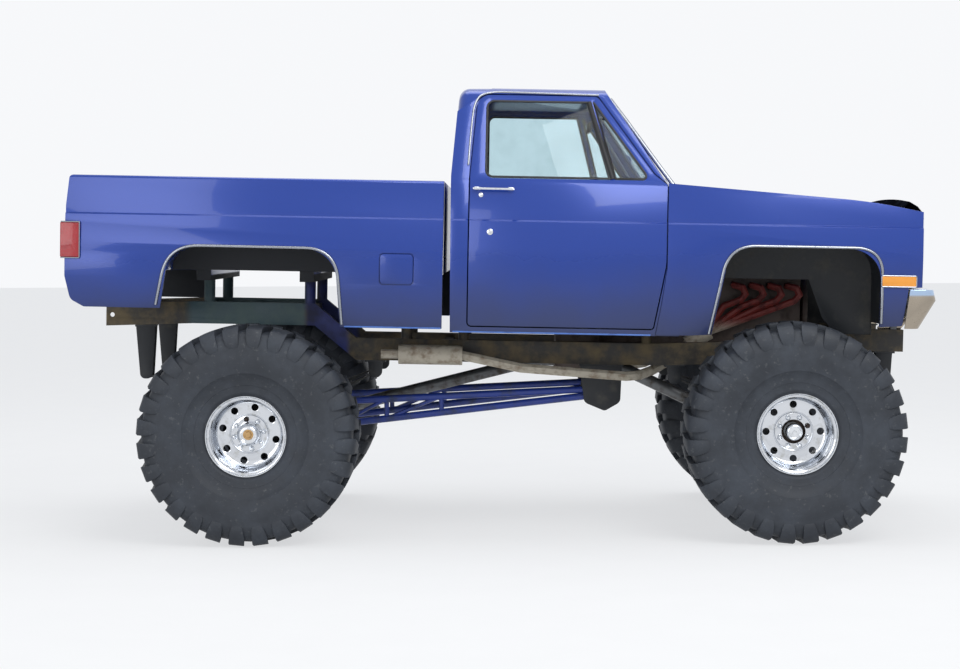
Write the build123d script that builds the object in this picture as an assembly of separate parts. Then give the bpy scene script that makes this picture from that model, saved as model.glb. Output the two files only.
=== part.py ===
from build123d import *
from math import cos, radians, sin, sqrt, tan
import os

# A lifted short-bed pickup truck with a regular cab, in millimetres.
# +X points forward, +Y to the truck's left and +Z up. The origin is on the ground under the middle.
# Body and chassis are drawn level and then tipped nose down together by RAKE.
# Axles, knuckles and wheels stand level on the ground.

# Stance
RAKE = 1.36
RAKE_PIVOT_Z = 1200.0
REAR_AXLE_X = -1405.0
WHEELBASE = 2985.0
FRONT_AXLE_X = REAR_AXLE_X + WHEELBASE
RUNNING_GAP = 0.3
BAR_SIDES = 12
PANEL_GAP = 7.0

# Wheels and tyres
TYRE_RADIUS = 602.0
TYRE_WIDTH = 533.0
TYRE_CENTRE_Y = 935.0
TREAD_HALF = 222.0
BEAD_RADIUS = 209.0
SIDEWALL_CREST_RADIUS = 430.0
RIM_WIDTH = 440.0
RIM_LIP_RADIUS = 222.5
RIM_WALL = 9.0
RIM_DISC_DEPTH = 176.0
RIM_DISC_THICK = 14.0
VENT_CIRCLE_RADIUS = 149.0
VENT_HOLE_RADIUS = 20.0
VENT_COUNT = 8
RIM_SIDES = 20
LUG_COUNT = 20
LUG_OVERLAP = 12.0
LUG_DEPTH = 30.0
BOLT_CIRCLE_RADIUS = 82.55
BOLT_COUNT = 8
NUT_RADIUS = 14.0
NUT_HEIGHT = 30.0
PAD_RADIUS = 103.0
PAD_HEIGHT = 10.0

# Body lines, level, as heights above the ground at the rake's pivot
HALF_WIDTH = 1011.0
SILL_Z = 1147.0
CREASE_Z = 1760.0
CREASE_STEP = 12.0
BELT_Z = 1976.0
BELT_INSET = 36.0
OUTSIDE = HALF_WIDTH + 90
DEEP_INSIDE = HALF_WIDTH - 311
DOOR_INSIDE = HALF_WIDTH - 511
TUCK_UNDER = 39.0
SKIN = 18.0

# Cab
CAB_REAR_X = -300.0
CAB_REAR_LEAN = 33.0
FIREWALL_X = 960.0
ROOF_Z = 2520.0
ROOF_CROWN = 22.0
ROOF_HALF_WIDTH = 690.0
DRIP_HALF_WIDTH = 752.0
DRIP_Z = 2478.0
SCREEN_TOP_X = 535.0
SCREEN_TOP_Z = 2462.0
SCREEN_BASE_X = 893.0
SCREEN_BASE_Z = 1965.0
SCREEN_BOW = 60.0
SCREEN_BOW_HALF = 900.0
PILLAR_FACE = 34.0
WINDOW_FRONT_INSET = 66.0
CAB_WALL = 45.0
CAB_FLOOR_Z = SILL_Z + CAB_WALL
COWL_FRONT_X = 1100.0
COWL_DEPTH = 130.0
COWL_NOTCH_X = 995.0

# Doors
DOOR_REAR_X = -203.0
DOOR_FRONT_X = 876.0
DOOR_BOTTOM_Z = 1186.0
DOOR_THICK = 150.0
DOOR_FRAME_THICK = 26.0
WINDOW_SILL_Z = 1996.0
WINDOW_HEAD_Z = 2432.0
GLASS_THICK = 5.0
PILLAR_INNER_Y = HALF_WIDTH - DOOR_THICK - 20
DOOR_BOX_INSET = 20.0
DOOR_SWING_SLACK = 7.0
SEAL_LAP = 14.0
BACK_WINDOW_HALF = 640.0
VENT_BAR_FOOT_X = 578.0
VENT_BAR_WIDTH = 22.0

# Cab outline from the side: rows of x, z, corner radius
CAB_SIDE = (
    (CAB_REAR_X, SILL_Z, 0), (CAB_REAR_X - 8, BELT_Z + 30, 0),
    (CAB_REAR_X + CAB_REAR_LEAN, ROOF_Z + 60, 70), (FIREWALL_X, ROOF_Z + 60, 0), (FIREWALL_X, SILL_Z, 0),
)

# Cabin
COLUMN_Y = 370.0
WHEEL_RIM_RADIUS = 195.0
SEAT_HALF = 720.0

# Bed
BED_FRONT_X = -345.0
BED_REAR_X = -2410.0
BED_TOP_Z = 1974.0
BED_INNER_HALF = HALF_WIDTH - 185
BED_FLOOR_Z = 1490.0
BED_FLOOR_THICK = 30.0
BED_RIBS = 9
BED_RIB_PITCH = 122.0
BED_LOW_REAR_Z = 1252.0
BED_LOW_FRONT_Z = 1166.0
BED_WALL = 45.0
TAILGATE_HALF = BED_INNER_HALF - 66
TAILGATE_THICK = 55.0
TAILGATE_LOW_Z = 1440.0
TUB_INNER_HALF = 640.0
TUB_TOP_Z = 1700.0
TUB_WALL = 14.0
TAILGATE_AXIS_X = BED_REAR_X + 12
TAILGATE_AXIS_Z = TAILGATE_LOW_Z + 12
TAILGATE_PIN_RADIUS = 9.0
LAMP_LENGTH = 109.0
LAMP_LOW_Z = 1522.0
LAMP_HIGH_Z = 1713.0
LAMP_PROUD = 27.0
LAMP_WIDTH = 165.0
FUEL_REAR_X = -686.0
FUEL_FRONT_X = -507.0
FUEL_LOW_Z = 1406.0
FUEL_HIGH_Z = 1570.0
FUEL_GAP = 6.0
FUEL_THICK = 10.0

# Wheel arches: outlines of the openings as rows of x, z, corner radius
REAR_ARCH = ((REAR_AXLE_X - 505, 1130, 0), (REAR_AXLE_X - 435, 1590, 150), (REAR_AXLE_X + 469, 1586, 165),
             (REAR_AXLE_X + 504, 1130, 0))
FRONT_ARCH = ((FRONT_AXLE_X - 452, 1130, 0), (FRONT_AXLE_X - 356, 1642, 140), (FRONT_AXLE_X + 466, 1642,
    165),
              (FRONT_AXLE_X + 469, 1130, 0))

# Front end
FENDER_REAR_X = DOOR_FRONT_X + PANEL_GAP
FENDER_FRONT_X = 2273.0
FENDER_LOW_REAR_Z = 1153.0
FENDER_LOW_FRONT_Z = 1227.0
FENDER_ROOM_Y = HALF_WIDTH - 65
FENDER_REAR_EDGE = ((828, FENDER_LOW_REAR_Z, 0), (858, 1330, 0), (FENDER_REAR_X, 1520, 0))
INNER_FENDER_Y = HALF_WIDTH - 451
INNER_FENDER_WALL = 4.0
INNER_FENDER_TOP_Z = 1674.0
INNER_FENDER_LOW_Z = 1465.0
INNER_FENDER_APRON_Z = 1160.0
HOOD_HALF = HALF_WIDTH - 211
HOOD_THICK = 22.0
HOOD_CROWN = 26.0
HOOD_REAR_Z = 1968.0
HOOD_BREAK_X = 1990.0
HOOD_BREAK_Z = 1905.0
HOOD_BREAK_RADIUS = 3000.0
HOOD_FRONT_Z = 1852.0
GRILLE_LOW_Z = 1462.0
GRILLE_TOP_Z = 1815.0
GRILLE_X = 2258.0
GRILLE_DEPTH = 46.0
LAMP_BAY_WIDTH = 262.0
GRILLE_HALF = HALF_WIDTH - 56
GRILLE_RIM = 22.0
GRILLE_COLUMNS = 14
GRILLE_ROWS = 5
HOOD_STOP_Y = 620.0
MARKER_REAR_X = 2052.0
MARKER_FRONT_X = 2238.0
MARKER_LOW_Z = 1444.0
MARKER_HIGH_Z = 1500.0
BUMPER_TOP_Z = 1428.0
BUMPER_LOW_Z = 1214.0
BUMPER_NOSE_X = 2424.0
BUMPER_END_X = BUMPER_NOSE_X - 216
BUMPER_HALF = HALF_WIDTH - 6
BUMPER_BROW = 58.0
BUMPER_LEAN = 92.0
BUMPER_WALL = 8.0

# Frame
RAIL_OUTER_Y = 432.0
RAIL_WIDTH = 66.0
RAIL_HEIGHT = 126.0
RAIL_WEB = 8.0
RAIL_TOP = ((2290, 1185), (1960, 1185), (1240, 1095), (880, 1080), (-850, 1080),
            (-1090, 1273), (-1790, 1273), (BED_REAR_X + 120, 1250))
BODY_MOUNT_RADIUS = 32.0
MOUNTS_CAB = (-230.0, 820.0)
MOUNTS_BED = (-560.0, -1120.0, -1700.0, BED_REAR_X + 210)
BED_SILL_HEIGHT = 60.0
TOW_HOLE_X = BED_REAR_X + 155
TOW_HOLE_Z = 1188.0
TOW_HOLE_RADIUS = 13.0

# Driveline, as closed masses
ENGINE_REAR_X = 1130.0
ENGINE_FRONT_X = 1720.0
ENGINE_HALF = 250.0
ENGINE_LOW_Z = 1050.0
GEARBOX_LOW_Z = 985.0
TRANSFER_REAR_X = 300.0
TRANSFER_FRONT_X = 556.0
TRANSFER_SHAFT_Z = 960.0
HEADER_PORTS = (1330.0, 1434.0, 1538.0, 1642.0)
HEADER_PORT_Z = 1420.0
MUFFLER_Y = 520.0

# Crossmembers: rows of middle x, low z, high z
CROSSMEMBERS = (
    (1995.0, 1090.0, 1160.0), (1480.0, 1012.0, ENGINE_LOW_Z - RUNNING_GAP), (780.0, 963.0,
        GEARBOX_LOW_Z - RUNNING_GAP),
    (-330.0, 985.0, 1055.0), (-1150.0, 1180.0, 1250.0), (-1760.0, 1180.0, 1250.0), (-2180.0, 1160.0,
        1230.0),
)

# Axles and steering
AXLE_Z = TYRE_RADIUS
AXLE_TUBE_RADIUS = 48.0
KINGPIN_Y = 780.0
YOKE_ROOM = 50.0
STEER_ARM = 140.0
STEER_BOSS_LOW = -20.0
STEER_BOSS_HEIGHT = 28.0
TIE_ROD_RADIUS = 13.0
TIE_ROD_EYE_HEIGHT = 36.0
HUB_FACE_Y = TYRE_CENTRE_Y + RIM_WIDTH / 2 - RIM_DISC_DEPTH - RIM_DISC_THICK
DIFF_RADIUS = 128.0
DIFF_COVER_REACH = 105.0
DIFF_OFFSET_Y = -230.0
PINION_RISE = 32.0
PINION_REACH = 285.0
JOINT_LENGTH = 40.0

# Springs, dampers and traction bars
SPRING_Y = 385.0
SPRING_WIDTH = 64.0
SPRING_LEAF = 9.0
SPRING_EYE_RADIUS = 24.0
REAR_SPRING_REACH = 660.0
FRONT_SPRING_REACH = 600.0
REAR_EYE_Z = 905.0
FRONT_EYE_Z = 860.0
SADDLE_RISE = 92.0
PERCH_HALF = 90.0
SPRINGS = ((REAR_AXLE_X, REAR_SPRING_REACH, REAR_EYE_Z), (FRONT_AXLE_X, FRONT_SPRING_REACH, FRONT_EYE_Z))
DAMPER_FOOT_X = 110.0
DAMPER_FOOT_RISE = 40.0
DAMPER_HEAD_X = 150.0
DAMPER_EYE_HALF = 30.0
REAR_DAMPER_Y = 300.0
FRONT_DAMPER_Y = 470.0
LADDER_Y = 300.0
LADDER_PIVOT_X = 520.0
LADDER_PIVOT_Z = 775.0
LADDER_PIVOT_WIDTH = 60.0
LADDER_TOP_Z = 712.0
LADDER_LOW_Z = 560.0
LADDER_PIN_RADIUS = 14.0
HANGER_PLATE = 10.0


def rounded_face(rows):
    """A flat face from rows of x, y, corner radius, in order round the outline."""
    count = len(rows)
    starts, ends, edges = [], [], []
    for i, (x, y, radius) in enumerate(rows):
        corner = Vector(x, y)
        back = (Vector(*rows[i - 1][:2]) - corner).normalized()
        ahead = (Vector(*rows[(i + 1) % count][:2]) - corner).normalized()
        if radius == 0:
            starts.append(corner)
            ends.append(corner)
            continue
        half_turn = radians(back.get_angle(ahead)) / 2
        run = radius / tan(half_turn)
        start, end = corner + back * run, corner + ahead * run
        middle = corner + (back + ahead).normalized() * (radius / sin(half_turn) - radius)
        edges.append(ThreePointArc(start, middle, end))
        starts.append(start)
        ends.append(end)
    for i in range(count):
        following = starts[(i + 1) % count]
        if (following - ends[i]).length > 1e-6:
            edges.append(Line(ends[i], following))
    return make_face(Wire.combine(edges)[0])


def side_prism(rows, y_low, y_high):
    """The side outline given as rows of x, z, radius, carried across from y_low to y_high."""
    face = Pos(0, y_low, 0) * (Plane.XZ * rounded_face(rows))
    return extrude(face, amount=y_high - y_low, dir=(0, 1, 0))


def cross_prism(rows, x_low, x_high):
    """The cross section given as rows of y, z, radius, carried along from x_low to x_high."""
    face = Pos(x_low, 0, 0) * (Plane.YZ * rounded_face(rows))
    return extrude(face, amount=x_high - x_low, dir=(1, 0, 0))


def block(x_low, x_high, y_low, y_high, z_low, z_high):
    size = (x_high - x_low, y_high - y_low, z_high - z_low)
    return Pos(x_low, y_low, z_low) * Box(*size, align=(Align.MIN, Align.MIN, Align.MIN))


def rod(start, end, radius, sides=BAR_SIDES):
    """A bar with flats from one point to another."""
    axis = Vector(*end) - Vector(*start)
    return extrude(Plane(origin=start, z_dir=axis) * RegularPolygon(radius, sides), amount=axis.length)


def turned(rows, sides):
    """A body about the Y axis drawn with flats, from its closed outline as rows of y, radius."""
    def corner(i, y, radius):
        angle = radians(360 * i / sides)
        return Vector(radius * cos(angle), y, radius * sin(angle))
    faces = []
    for (y_near, near), (y_far, far) in zip(rows, rows[1:] + rows[:1]):
        if near == 0 and far == 0:
            continue
        for i in range(sides):
            corners = [corner(i, y_near, near), corner(i, y_far, far)]
            if far != 0:
                corners.append(corner(i + 1, y_far, far))
            if near != 0:
                corners.append(corner(i + 1, y_near, near))
            faces.append(Face(Wire.make_polygon(corners)))
    return Solid(Shell(faces))


def pipe(points, radius, sides=BAR_SIDES):
    """A tube with flats, mitred at each bend of its run."""
    run = Polyline(*points)
    start = Plane(origin=points[0], z_dir=Vector(*points[1]) - Vector(*points[0]))
    return sweep(start * RegularPolygon(radius, sides), path=run, transition=Transition.RIGHT)


def flipped(shape):
    return mirror(shape, about=Plane.XZ)


def raked(shape):
    """Tips a level body or chassis piece nose down about the rake's pivot."""
    return Pos(0, 0, RAKE_PIVOT_Z) * Rot(0, RAKE, 0) * Pos(0, 0, -RAKE_PIVOT_Z) * shape


def raked_point(x, y, z):
    angle = radians(RAKE)
    rise = z - RAKE_PIVOT_Z
    return (x * cos(angle) + rise * sin(angle), y, RAKE_PIVOT_Z - x * sin(angle) + rise * cos(angle))


os.makedirs("parts", exist_ok=True)
nodes = {}


def keep(name, *solids):
    nodes[name] = solids[0] if len(solids) == 1 else Compound(children=[s for s in solids])


# Body side section: rows of y, z, radius from the tucked-under sill up to the belt
def side_section(inset=0.0, top=BELT_Z, bottom=SILL_Z - 40):
    belt_y = HALF_WIDTH - BELT_INSET + 11
    return [
        (HALF_WIDTH - TUCK_UNDER - 6 - inset, bottom, 0),
        (HALF_WIDTH - 6 - inset, CREASE_Z - 350, 900),
        (HALF_WIDTH - inset, CREASE_Z - 160, 900),
        (HALF_WIDTH - 8 - inset, CREASE_Z, 0),
        (HALF_WIDTH - 8 - CREASE_STEP - inset, CREASE_Z + 9, 0),
        (belt_y - inset, top, 0),
    ]


def hood_line_rows(drop=0.0, rear_x=FENDER_REAR_X, front_x=FENDER_FRONT_X):
    """The top edge of fenders and hood, lowered by drop, from the rear forwards."""
    rear_slope = (HOOD_REAR_Z - HOOD_BREAK_Z) / (HOOD_BREAK_X - COWL_FRONT_X)
    front_slope = (HOOD_BREAK_Z - HOOD_FRONT_Z) / (FENDER_FRONT_X - HOOD_BREAK_X)
    return [
        (rear_x, HOOD_BREAK_Z + rear_slope * (HOOD_BREAK_X - rear_x) - drop, 0),
        (HOOD_BREAK_X, HOOD_BREAK_Z - drop, HOOD_BREAK_RADIUS),
        (front_x, HOOD_BREAK_Z - front_slope * (front_x - HOOD_BREAK_X) - drop, 0),
    ]


# Wheels
def lug_rows(lug_side):
    """The tyre's section as rows of y, radius, with a lug on the side named and a gap on the other."""
    half = TYRE_WIDTH / 2
    bead_half = RIM_WIDTH / 2 - RIM_WALL - RUNNING_GAP
    foot = [(bead_half, BEAD_RADIUS), (bead_half, RIM_LIP_RADIUS + 2), (half, SIDEWALL_CREST_RADIUS - 25)]
    lug = [(half - 8, 552), (TREAD_HALF, TYRE_RADIUS - 6), (LUG_OVERLAP, TYRE_RADIUS)]
    gap = [(half - 30, 545), (TREAD_HALF - 12, TYRE_RADIUS - LUG_DEPTH - 6), (LUG_OVERLAP,
        TYRE_RADIUS - LUG_DEPTH)]
    lugged = foot + lug + [(-LUG_OVERLAP, TYRE_RADIUS)]
    rows = [(-y, radius) for y, radius in foot + gap] + list(reversed(lugged))
    return rows if lug_side > 0 else [(-y, radius) for y, radius in reversed(rows)]


def tyre():
    """One tyre about the Y axis, solid from bead to tread, its lugs staggered between the two sides."""
    columns = 2 * LUG_COUNT
    sections = [lug_rows(1), lug_rows(-1)]
    steps = [
        sections[0][2:7] + sections[1][4:2:-1],
        sections[0][7:11] + sections[1][9:6:-1],
    ]

    def corner(i, y, radius):
        angle = radians(360 * i / columns)
        return Vector(radius * cos(angle), y, radius * sin(angle))
    faces = []
    for i in range(columns):
        here = sections[i % 2]
        for near, far in zip(here, here[1:] + here[:1]):
            ring = [corner(i, *near), corner(i, *far), corner(i + 1, *far), corner(i + 1, *near)]
            faces.append(Face(Wire.make_polygon(ring)))
        for outline in steps:
            faces.append(Face(Wire.make_polygon([corner(i, *row) for row in outline])))
    return Solid(Shell(faces))


def rim(hub_radius, hub_length):
    """One deep-dish wheel about the Y axis, its dished side towards +Y, with its hub."""
    half = RIM_WIDTH / 2
    barrel = BEAD_RADIUS - RUNNING_GAP
    disc_y = half - RIM_DISC_DEPTH
    pad_y = disc_y + PAD_HEIGHT
    inside = barrel - RIM_WALL
    wheel = turned([
        (-half, inside), (-half, RIM_LIP_RADIUS), (-half + RIM_WALL, RIM_LIP_RADIUS), (-half + RIM_WALL,
            barrel),
        (half - RIM_WALL, barrel), (half - RIM_WALL, RIM_LIP_RADIUS), (half, RIM_LIP_RADIUS),
        (half, RIM_LIP_RADIUS - 14), (half - 20, inside), (disc_y + 24, inside), (disc_y, inside - 22),
        (disc_y, PAD_RADIUS), (pad_y, PAD_RADIUS - 4), (pad_y, 0), (disc_y - RIM_DISC_THICK, 0),
        (disc_y - RIM_DISC_THICK, inside - 26), (disc_y - RIM_DISC_THICK + 12, inside),
    ], RIM_SIDES)
    for i in range(VENT_COUNT):
        turn = Rot(0, 360 * i / VENT_COUNT, 0)
        wheel -= turn * rod((VENT_CIRCLE_RADIUS, disc_y - 60, 0), (VENT_CIRCLE_RADIUS, disc_y + 60, 0),
            VENT_HOLE_RADIUS, 8)
    for i in range(BOLT_COUNT):
        turn = Rot(0, 360 * (i + 0.5) / BOLT_COUNT, 0)
        foot, tip = (BOLT_CIRCLE_RADIUS, pad_y - 1, 0), (BOLT_CIRCLE_RADIUS, pad_y + NUT_HEIGHT, 0)
        wheel += turn * rod(foot, tip, NUT_RADIUS, 6)
    hub = Pos(0, pad_y - 1 + (hub_length + 1) / 2, 0) * Rot(90, 0, 0) * Cylinder(hub_radius, hub_length + 1)
    return wheel + hub


def place_wheels():
    hubs = {"front": (46.0, 62.0), "rear": (64.0, 78.0)}
    for end, axle_x in (("front", FRONT_AXLE_X), ("rear", REAR_AXLE_X)):
        wheel, rubber = rim(*hubs[end]), tyre()
        for side in ("left", "right"):
            turn = Rot(0, 0, 0) if side == "left" else Rot(0, 0, 180)
            at = Pos(axle_x, TYRE_CENTRE_Y if side == "left" else -TYRE_CENTRE_Y, AXLE_Z)
            keep(f"rim_{end}_{side}", at * turn * wheel)
            keep(f"tyre_{end}_{side}", at * turn * rubber)


# Axles, steering and springs, all level


def differential(centre_y, turn):
    """A housing with its cover towards +X and its pinion nose towards -X, before the turn about Z."""
    rows = [
        (-120, 0), (-120, 60), (-60, DIFF_RADIUS), (56, DIFF_RADIUS), (56, DIFF_RADIUS + 10),
        (70, DIFF_RADIUS + 10), (70, DIFF_RADIUS - 2), (DIFF_COVER_REACH, 70), (DIFF_COVER_REACH, 0),
    ]
    housing = Rot(0, 0, -90) * turned(rows, 16)
    housing += rod((-90, 0, PINION_RISE), (-255, 0, PINION_RISE), 55)
    housing += rod((-250, 0, PINION_RISE), (-PINION_REACH, 0, PINION_RISE), 66)
    return Pos(0, centre_y, 0) * Rot(0, 0, turn) * housing


def damper_lug(side, damper_y, way):
    """A lug welded to an axle tube that takes a damper's lower eye."""
    face = damper_y - DAMPER_EYE_HALF - RUNNING_GAP
    low, high = sorted((side * face, side * (face - 14)))
    return block(*sorted((0, way * (DAMPER_FOOT_X + 26))), low, high, 14, DAMPER_FOOT_RISE + 26)


def front_axle():
    """The steered axle: its tube ends in two yokes that are open outwards for the knuckles' swing."""
    wall_y = KINGPIN_Y - YOKE_ROOM
    tube = rod((0, -wall_y + 10, 0), (0, wall_y - 10, 0), AXLE_TUBE_RADIUS)
    tube += differential(DIFF_OFFSET_Y, 0)
    for side in (1, -1):
        yoke = block(-42, 42, wall_y - 34, KINGPIN_Y + 4, -104, 104)
        yoke -= block(-60, 60, wall_y, KINGPIN_Y + 60, -72, 72)
        tube += yoke if side == 1 else flipped(yoke)
        pad = block(-PERCH_HALF, PERCH_HALF, -SPRING_WIDTH / 2 - 8, SPRING_WIDTH / 2 + 8, 30, SADDLE_RISE)
        tube += Pos(0, side * SPRING_Y, 0) * pad
        tube += damper_lug(side, FRONT_DAMPER_Y, 1)
    return Pos(FRONT_AXLE_X, 0, AXLE_Z) * tube


def rear_axle():
    hub_end = HUB_FACE_Y - RUNNING_GAP
    tube = rod((0, -hub_end, 0), (0, hub_end, 0), AXLE_TUBE_RADIUS)
    tube += differential(0, 180)
    for side in (1, -1):
        tube += rod((0, side * (hub_end - 170), 0), (0, side * (hub_end - 110), 0), 165, 20)
        tube += rod((0, side * (hub_end - 112), 0), (0, side * hub_end, 0), 62)
        pad = block(-PERCH_HALF, PERCH_HALF, -SPRING_WIDTH / 2 - 8, SPRING_WIDTH / 2 + 8, 30, SADDLE_RISE)
        tube += Pos(0, side * SPRING_Y, 0) * pad
        tube += damper_lug(side, REAR_DAMPER_Y, -1)
    return Pos(REAR_AXLE_X, 0, AXLE_Z) * tube


def knuckle():
    """The left steering knuckle, between its king pins, with spindle and forward steering arm."""
    body = block(-46, 46, KINGPIN_Y - 24, KINGPIN_Y + 34, -72 + RUNNING_GAP, 72 - RUNNING_GAP)
    body += rod((0, KINGPIN_Y + 30, 0), (0, HUB_FACE_Y - RUNNING_GAP, 0), 52)
    body += rod((0, KINGPIN_Y + 34, 0), (0, KINGPIN_Y + 52, 0), 150, 20)
    boss_top = STEER_BOSS_LOW + STEER_BOSS_HEIGHT
    arm = [(20, -40, 0), (STEER_ARM - 50, STEER_BOSS_LOW, 0), (STEER_ARM, STEER_BOSS_LOW, 0),
           (STEER_ARM, boss_top, 0), (20, 36, 0)]
    body += side_prism(arm, KINGPIN_Y - 20, KINGPIN_Y + 20)
    body += rod((STEER_ARM, KINGPIN_Y, STEER_BOSS_LOW), (STEER_ARM, KINGPIN_Y, boss_top), 26)
    body -= Pos(STEER_ARM, KINGPIN_Y, STEER_BOSS_LOW + STEER_BOSS_HEIGHT / 2) * Cylinder(9, 60)
    return Pos(FRONT_AXLE_X, 0, AXLE_Z) * body


def tie_rod():
    z = STEER_BOSS_LOW - RUNNING_GAP - TIE_ROD_EYE_HEIGHT / 2
    bar = rod((STEER_ARM, -KINGPIN_Y, z), (STEER_ARM, KINGPIN_Y, z), TIE_ROD_RADIUS)
    for side in (1, -1):
        low, high = z - TIE_ROD_EYE_HEIGHT / 2, z + TIE_ROD_EYE_HEIGHT / 2
        bar += rod((STEER_ARM, side * KINGPIN_Y, low), (STEER_ARM, side * KINGPIN_Y, high), 22)
    pin = Pos(STEER_ARM, KINGPIN_Y, z) * Cylinder(8.5, 66, align=(Align.CENTER, Align.CENTER, Align.MIN))
    return Pos(FRONT_AXLE_X, 0, AXLE_Z) * (bar + pin)


def spring(axle_x, reach, eye_z):
    """One arched leaf pack over an axle: rows of half length and position in the stack."""
    leaves = ((1.0, 0), (0.86, 1), (0.7, 2), (0.54, 3), (0.38, 4))
    arch = eye_z - AXLE_Z - SADDLE_RISE - RUNNING_GAP - 5 * SPRING_LEAF
    arch_radius = (reach * reach + arch * arch) / (2 * arch)
    pack = None
    for share, level in leaves:
        half = reach * share
        outer = arch_radius + level * SPRING_LEAF
        low = outer + SPRING_LEAF
        drop = sqrt(outer * outer - half * half)
        low_drop = sqrt(low * low - half * half)
        edges = [
            ThreePointArc((-half, -drop), (0, -outer), (half, -drop)),
            Line((half, -drop), (half, -low_drop)),
            ThreePointArc((half, -low_drop), (0, -low), (-half, -low_drop)),
            Line((-half, -low_drop), (-half, -drop)),
        ]
        leaf = extrude(Plane.XZ * make_face(edges), amount=SPRING_WIDTH / 2, both=True)
        pack = leaf if pack is None else pack + leaf
    for side in (1, -1):
        eye = rod((0, -SPRING_WIDTH / 2, 0), (0, SPRING_WIDTH / 2, 0), SPRING_EYE_RADIUS)
        pack += Pos(side * reach, 0, -arch_radius + arch - 4) * eye
    return Pos(axle_x, 0, eye_z - arch + arch_radius) * pack


def leaf_springs():
    packs = []
    for axle_x, reach, eye_z in SPRINGS:
        for side in (1, -1):
            packs.append(Pos(0, side * SPRING_Y, 0) * spring(axle_x, reach, eye_z))
    return packs


def frame_rail():
    """The left rail: a channel with its web outside, over the rear axle and out to both ends."""
    top = [(x, z, 0) for x, z in RAIL_TOP]
    bottom = [(x, z - RAIL_HEIGHT, 0) for x, z in reversed(RAIL_TOP)]
    low, high = RAIL_OUTER_Y - RAIL_WIDTH, RAIL_OUTER_Y
    solid = side_prism(top + bottom, low, high)
    inner_top = [(x, z - RAIL_WEB, 0) for x, z in RAIL_TOP]
    inner_bottom = [(x, z - RAIL_HEIGHT + RAIL_WEB, 0) for x, z in reversed(RAIL_TOP)]
    solid -= side_prism(inner_top + inner_bottom, low - 1, high - RAIL_WEB)
    return solid


def rail_top_at(x):
    for (x_high, z_high), (x_low, z_low) in zip(RAIL_TOP, RAIL_TOP[1:]):
        if x_low <= x <= x_high:
            return z_low + (z_high - z_low) * (x - x_low) / (x_high - x_low)


def rail_with_mounts():
    """The left rail with its tow hole and the rubber-topped blocks that carry cab and bed."""
    rail = frame_rail()
    middle = RAIL_OUTER_Y - RAIL_WIDTH / 2
    bed_low = BED_FLOOR_Z - BED_FLOOR_THICK - BED_SILL_HEIGHT
    for stations, under in ((MOUNTS_CAB, SILL_Z), (MOUNTS_BED, bed_low)):
        for x in stations:
            rail += rod((x, middle, rail_top_at(x) - 1), (x, middle, under - RUNNING_GAP),
                BODY_MOUNT_RADIUS)
    rail -= Pos(TOW_HOLE_X, RAIL_OUTER_Y, TOW_HOLE_Z) * Rot(90, 0, 0) * Cylinder(TOW_HOLE_RADIUS, 40)
    return rail


def crossmembers():
    reach = RAIL_OUTER_Y - RAIL_WEB - RUNNING_GAP
    return [block(x - 30, x + 30, -reach, reach, low, high) for x, low, high in CROSSMEMBERS]


def ladder_bar():
    """One welded traction truss: pivot at the hanger, clamped round the rear axle tube."""
    plate_x = REAR_AXLE_X + 150
    top_pivot, low_pivot = LADDER_PIVOT_Z + 16, LADDER_PIVOT_Z - 20
    truss = rod((plate_x, 0, LADDER_TOP_Z), (LADDER_PIVOT_X, 0, top_pivot), 21)
    truss += rod((plate_x, 0, LADDER_LOW_Z), (LADDER_PIVOT_X, 0, low_pivot), 21)
    stations = []
    for share in (0.0, 0.16, 0.32, 0.5):
        x = plate_x + (LADDER_PIVOT_X - plate_x) * share
        z_top = LADDER_TOP_Z + (top_pivot - LADDER_TOP_Z) * share
        z_low = LADDER_LOW_Z + (low_pivot - LADDER_LOW_Z) * share
        stations.append((x, z_low, z_top))
        truss += rod((x, 0, z_low), (x, 0, z_top), 14, 6)
    for (x_back, z_back, _), (x, _, z_top) in zip(stations, stations[1:]):
        truss += rod((x_back, 0, z_back), (x, 0, z_top), 12, 6)
    half = LADDER_PIVOT_WIDTH / 2
    near, far = (LADDER_PIVOT_X, -half, LADDER_PIVOT_Z), (LADDER_PIVOT_X, half, LADDER_PIVOT_Z)
    truss += rod(near, far, 40)
    truss -= rod(near, far, LADDER_PIN_RADIUS + RUNNING_GAP)
    plate = [(REAR_AXLE_X + 20, LADDER_LOW_Z - 30, 0), (REAR_AXLE_X + 20, LADDER_TOP_Z + 14, 0),
             (plate_x + 26, LADDER_TOP_Z + 32, 0), (plate_x + 26, LADDER_LOW_Z - 30, 0)]
    truss += side_prism(plate, -8, 8)
    truss += rod((REAR_AXLE_X, -18, AXLE_Z), (REAR_AXLE_X, 18, AXLE_Z), AXLE_TUBE_RADIUS + 20)
    return truss - rod((REAR_AXLE_X, -30, AXLE_Z), (REAR_AXLE_X, 30, AXLE_Z),
        AXLE_TUBE_RADIUS + RUNNING_GAP)


def ladder_bars():
    return [Pos(0, side * LADDER_Y, 0) * ladder_bar() for side in (1, -1)]


def above_rails(gap):
    """All the space above a line that runs gap below both rails' undersides."""
    line = [(x, z - RAIL_HEIGHT - gap, 0) for x, z in reversed(RAIL_TOP)]
    return raked(side_prism(line + [(2290, 1700, 0), (-2290, 1700, 0)], -600, 600))


def drop_bracket(x, z, space, flange):
    """A bracket from the rail's underside down to one spring eye, with a plate each side of the eye."""
    half = SPRING_WIDTH / 2 + RUNNING_GAP
    rows = [(x - 34, z - 34, 30), (x + 34, z - 34, 30), (x + 60, z + 330, 0), (x - 60, z + 330, 0)]
    plates = side_prism(rows, -half - 8, half + 8) - block(x - 90, x + 90, -half, half, z - 60, z + 340)
    cap = block(x - 60, x + 60, -half - 8, half + 14, z + 30, z + 340) & flange
    return plates + cap - space


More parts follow.
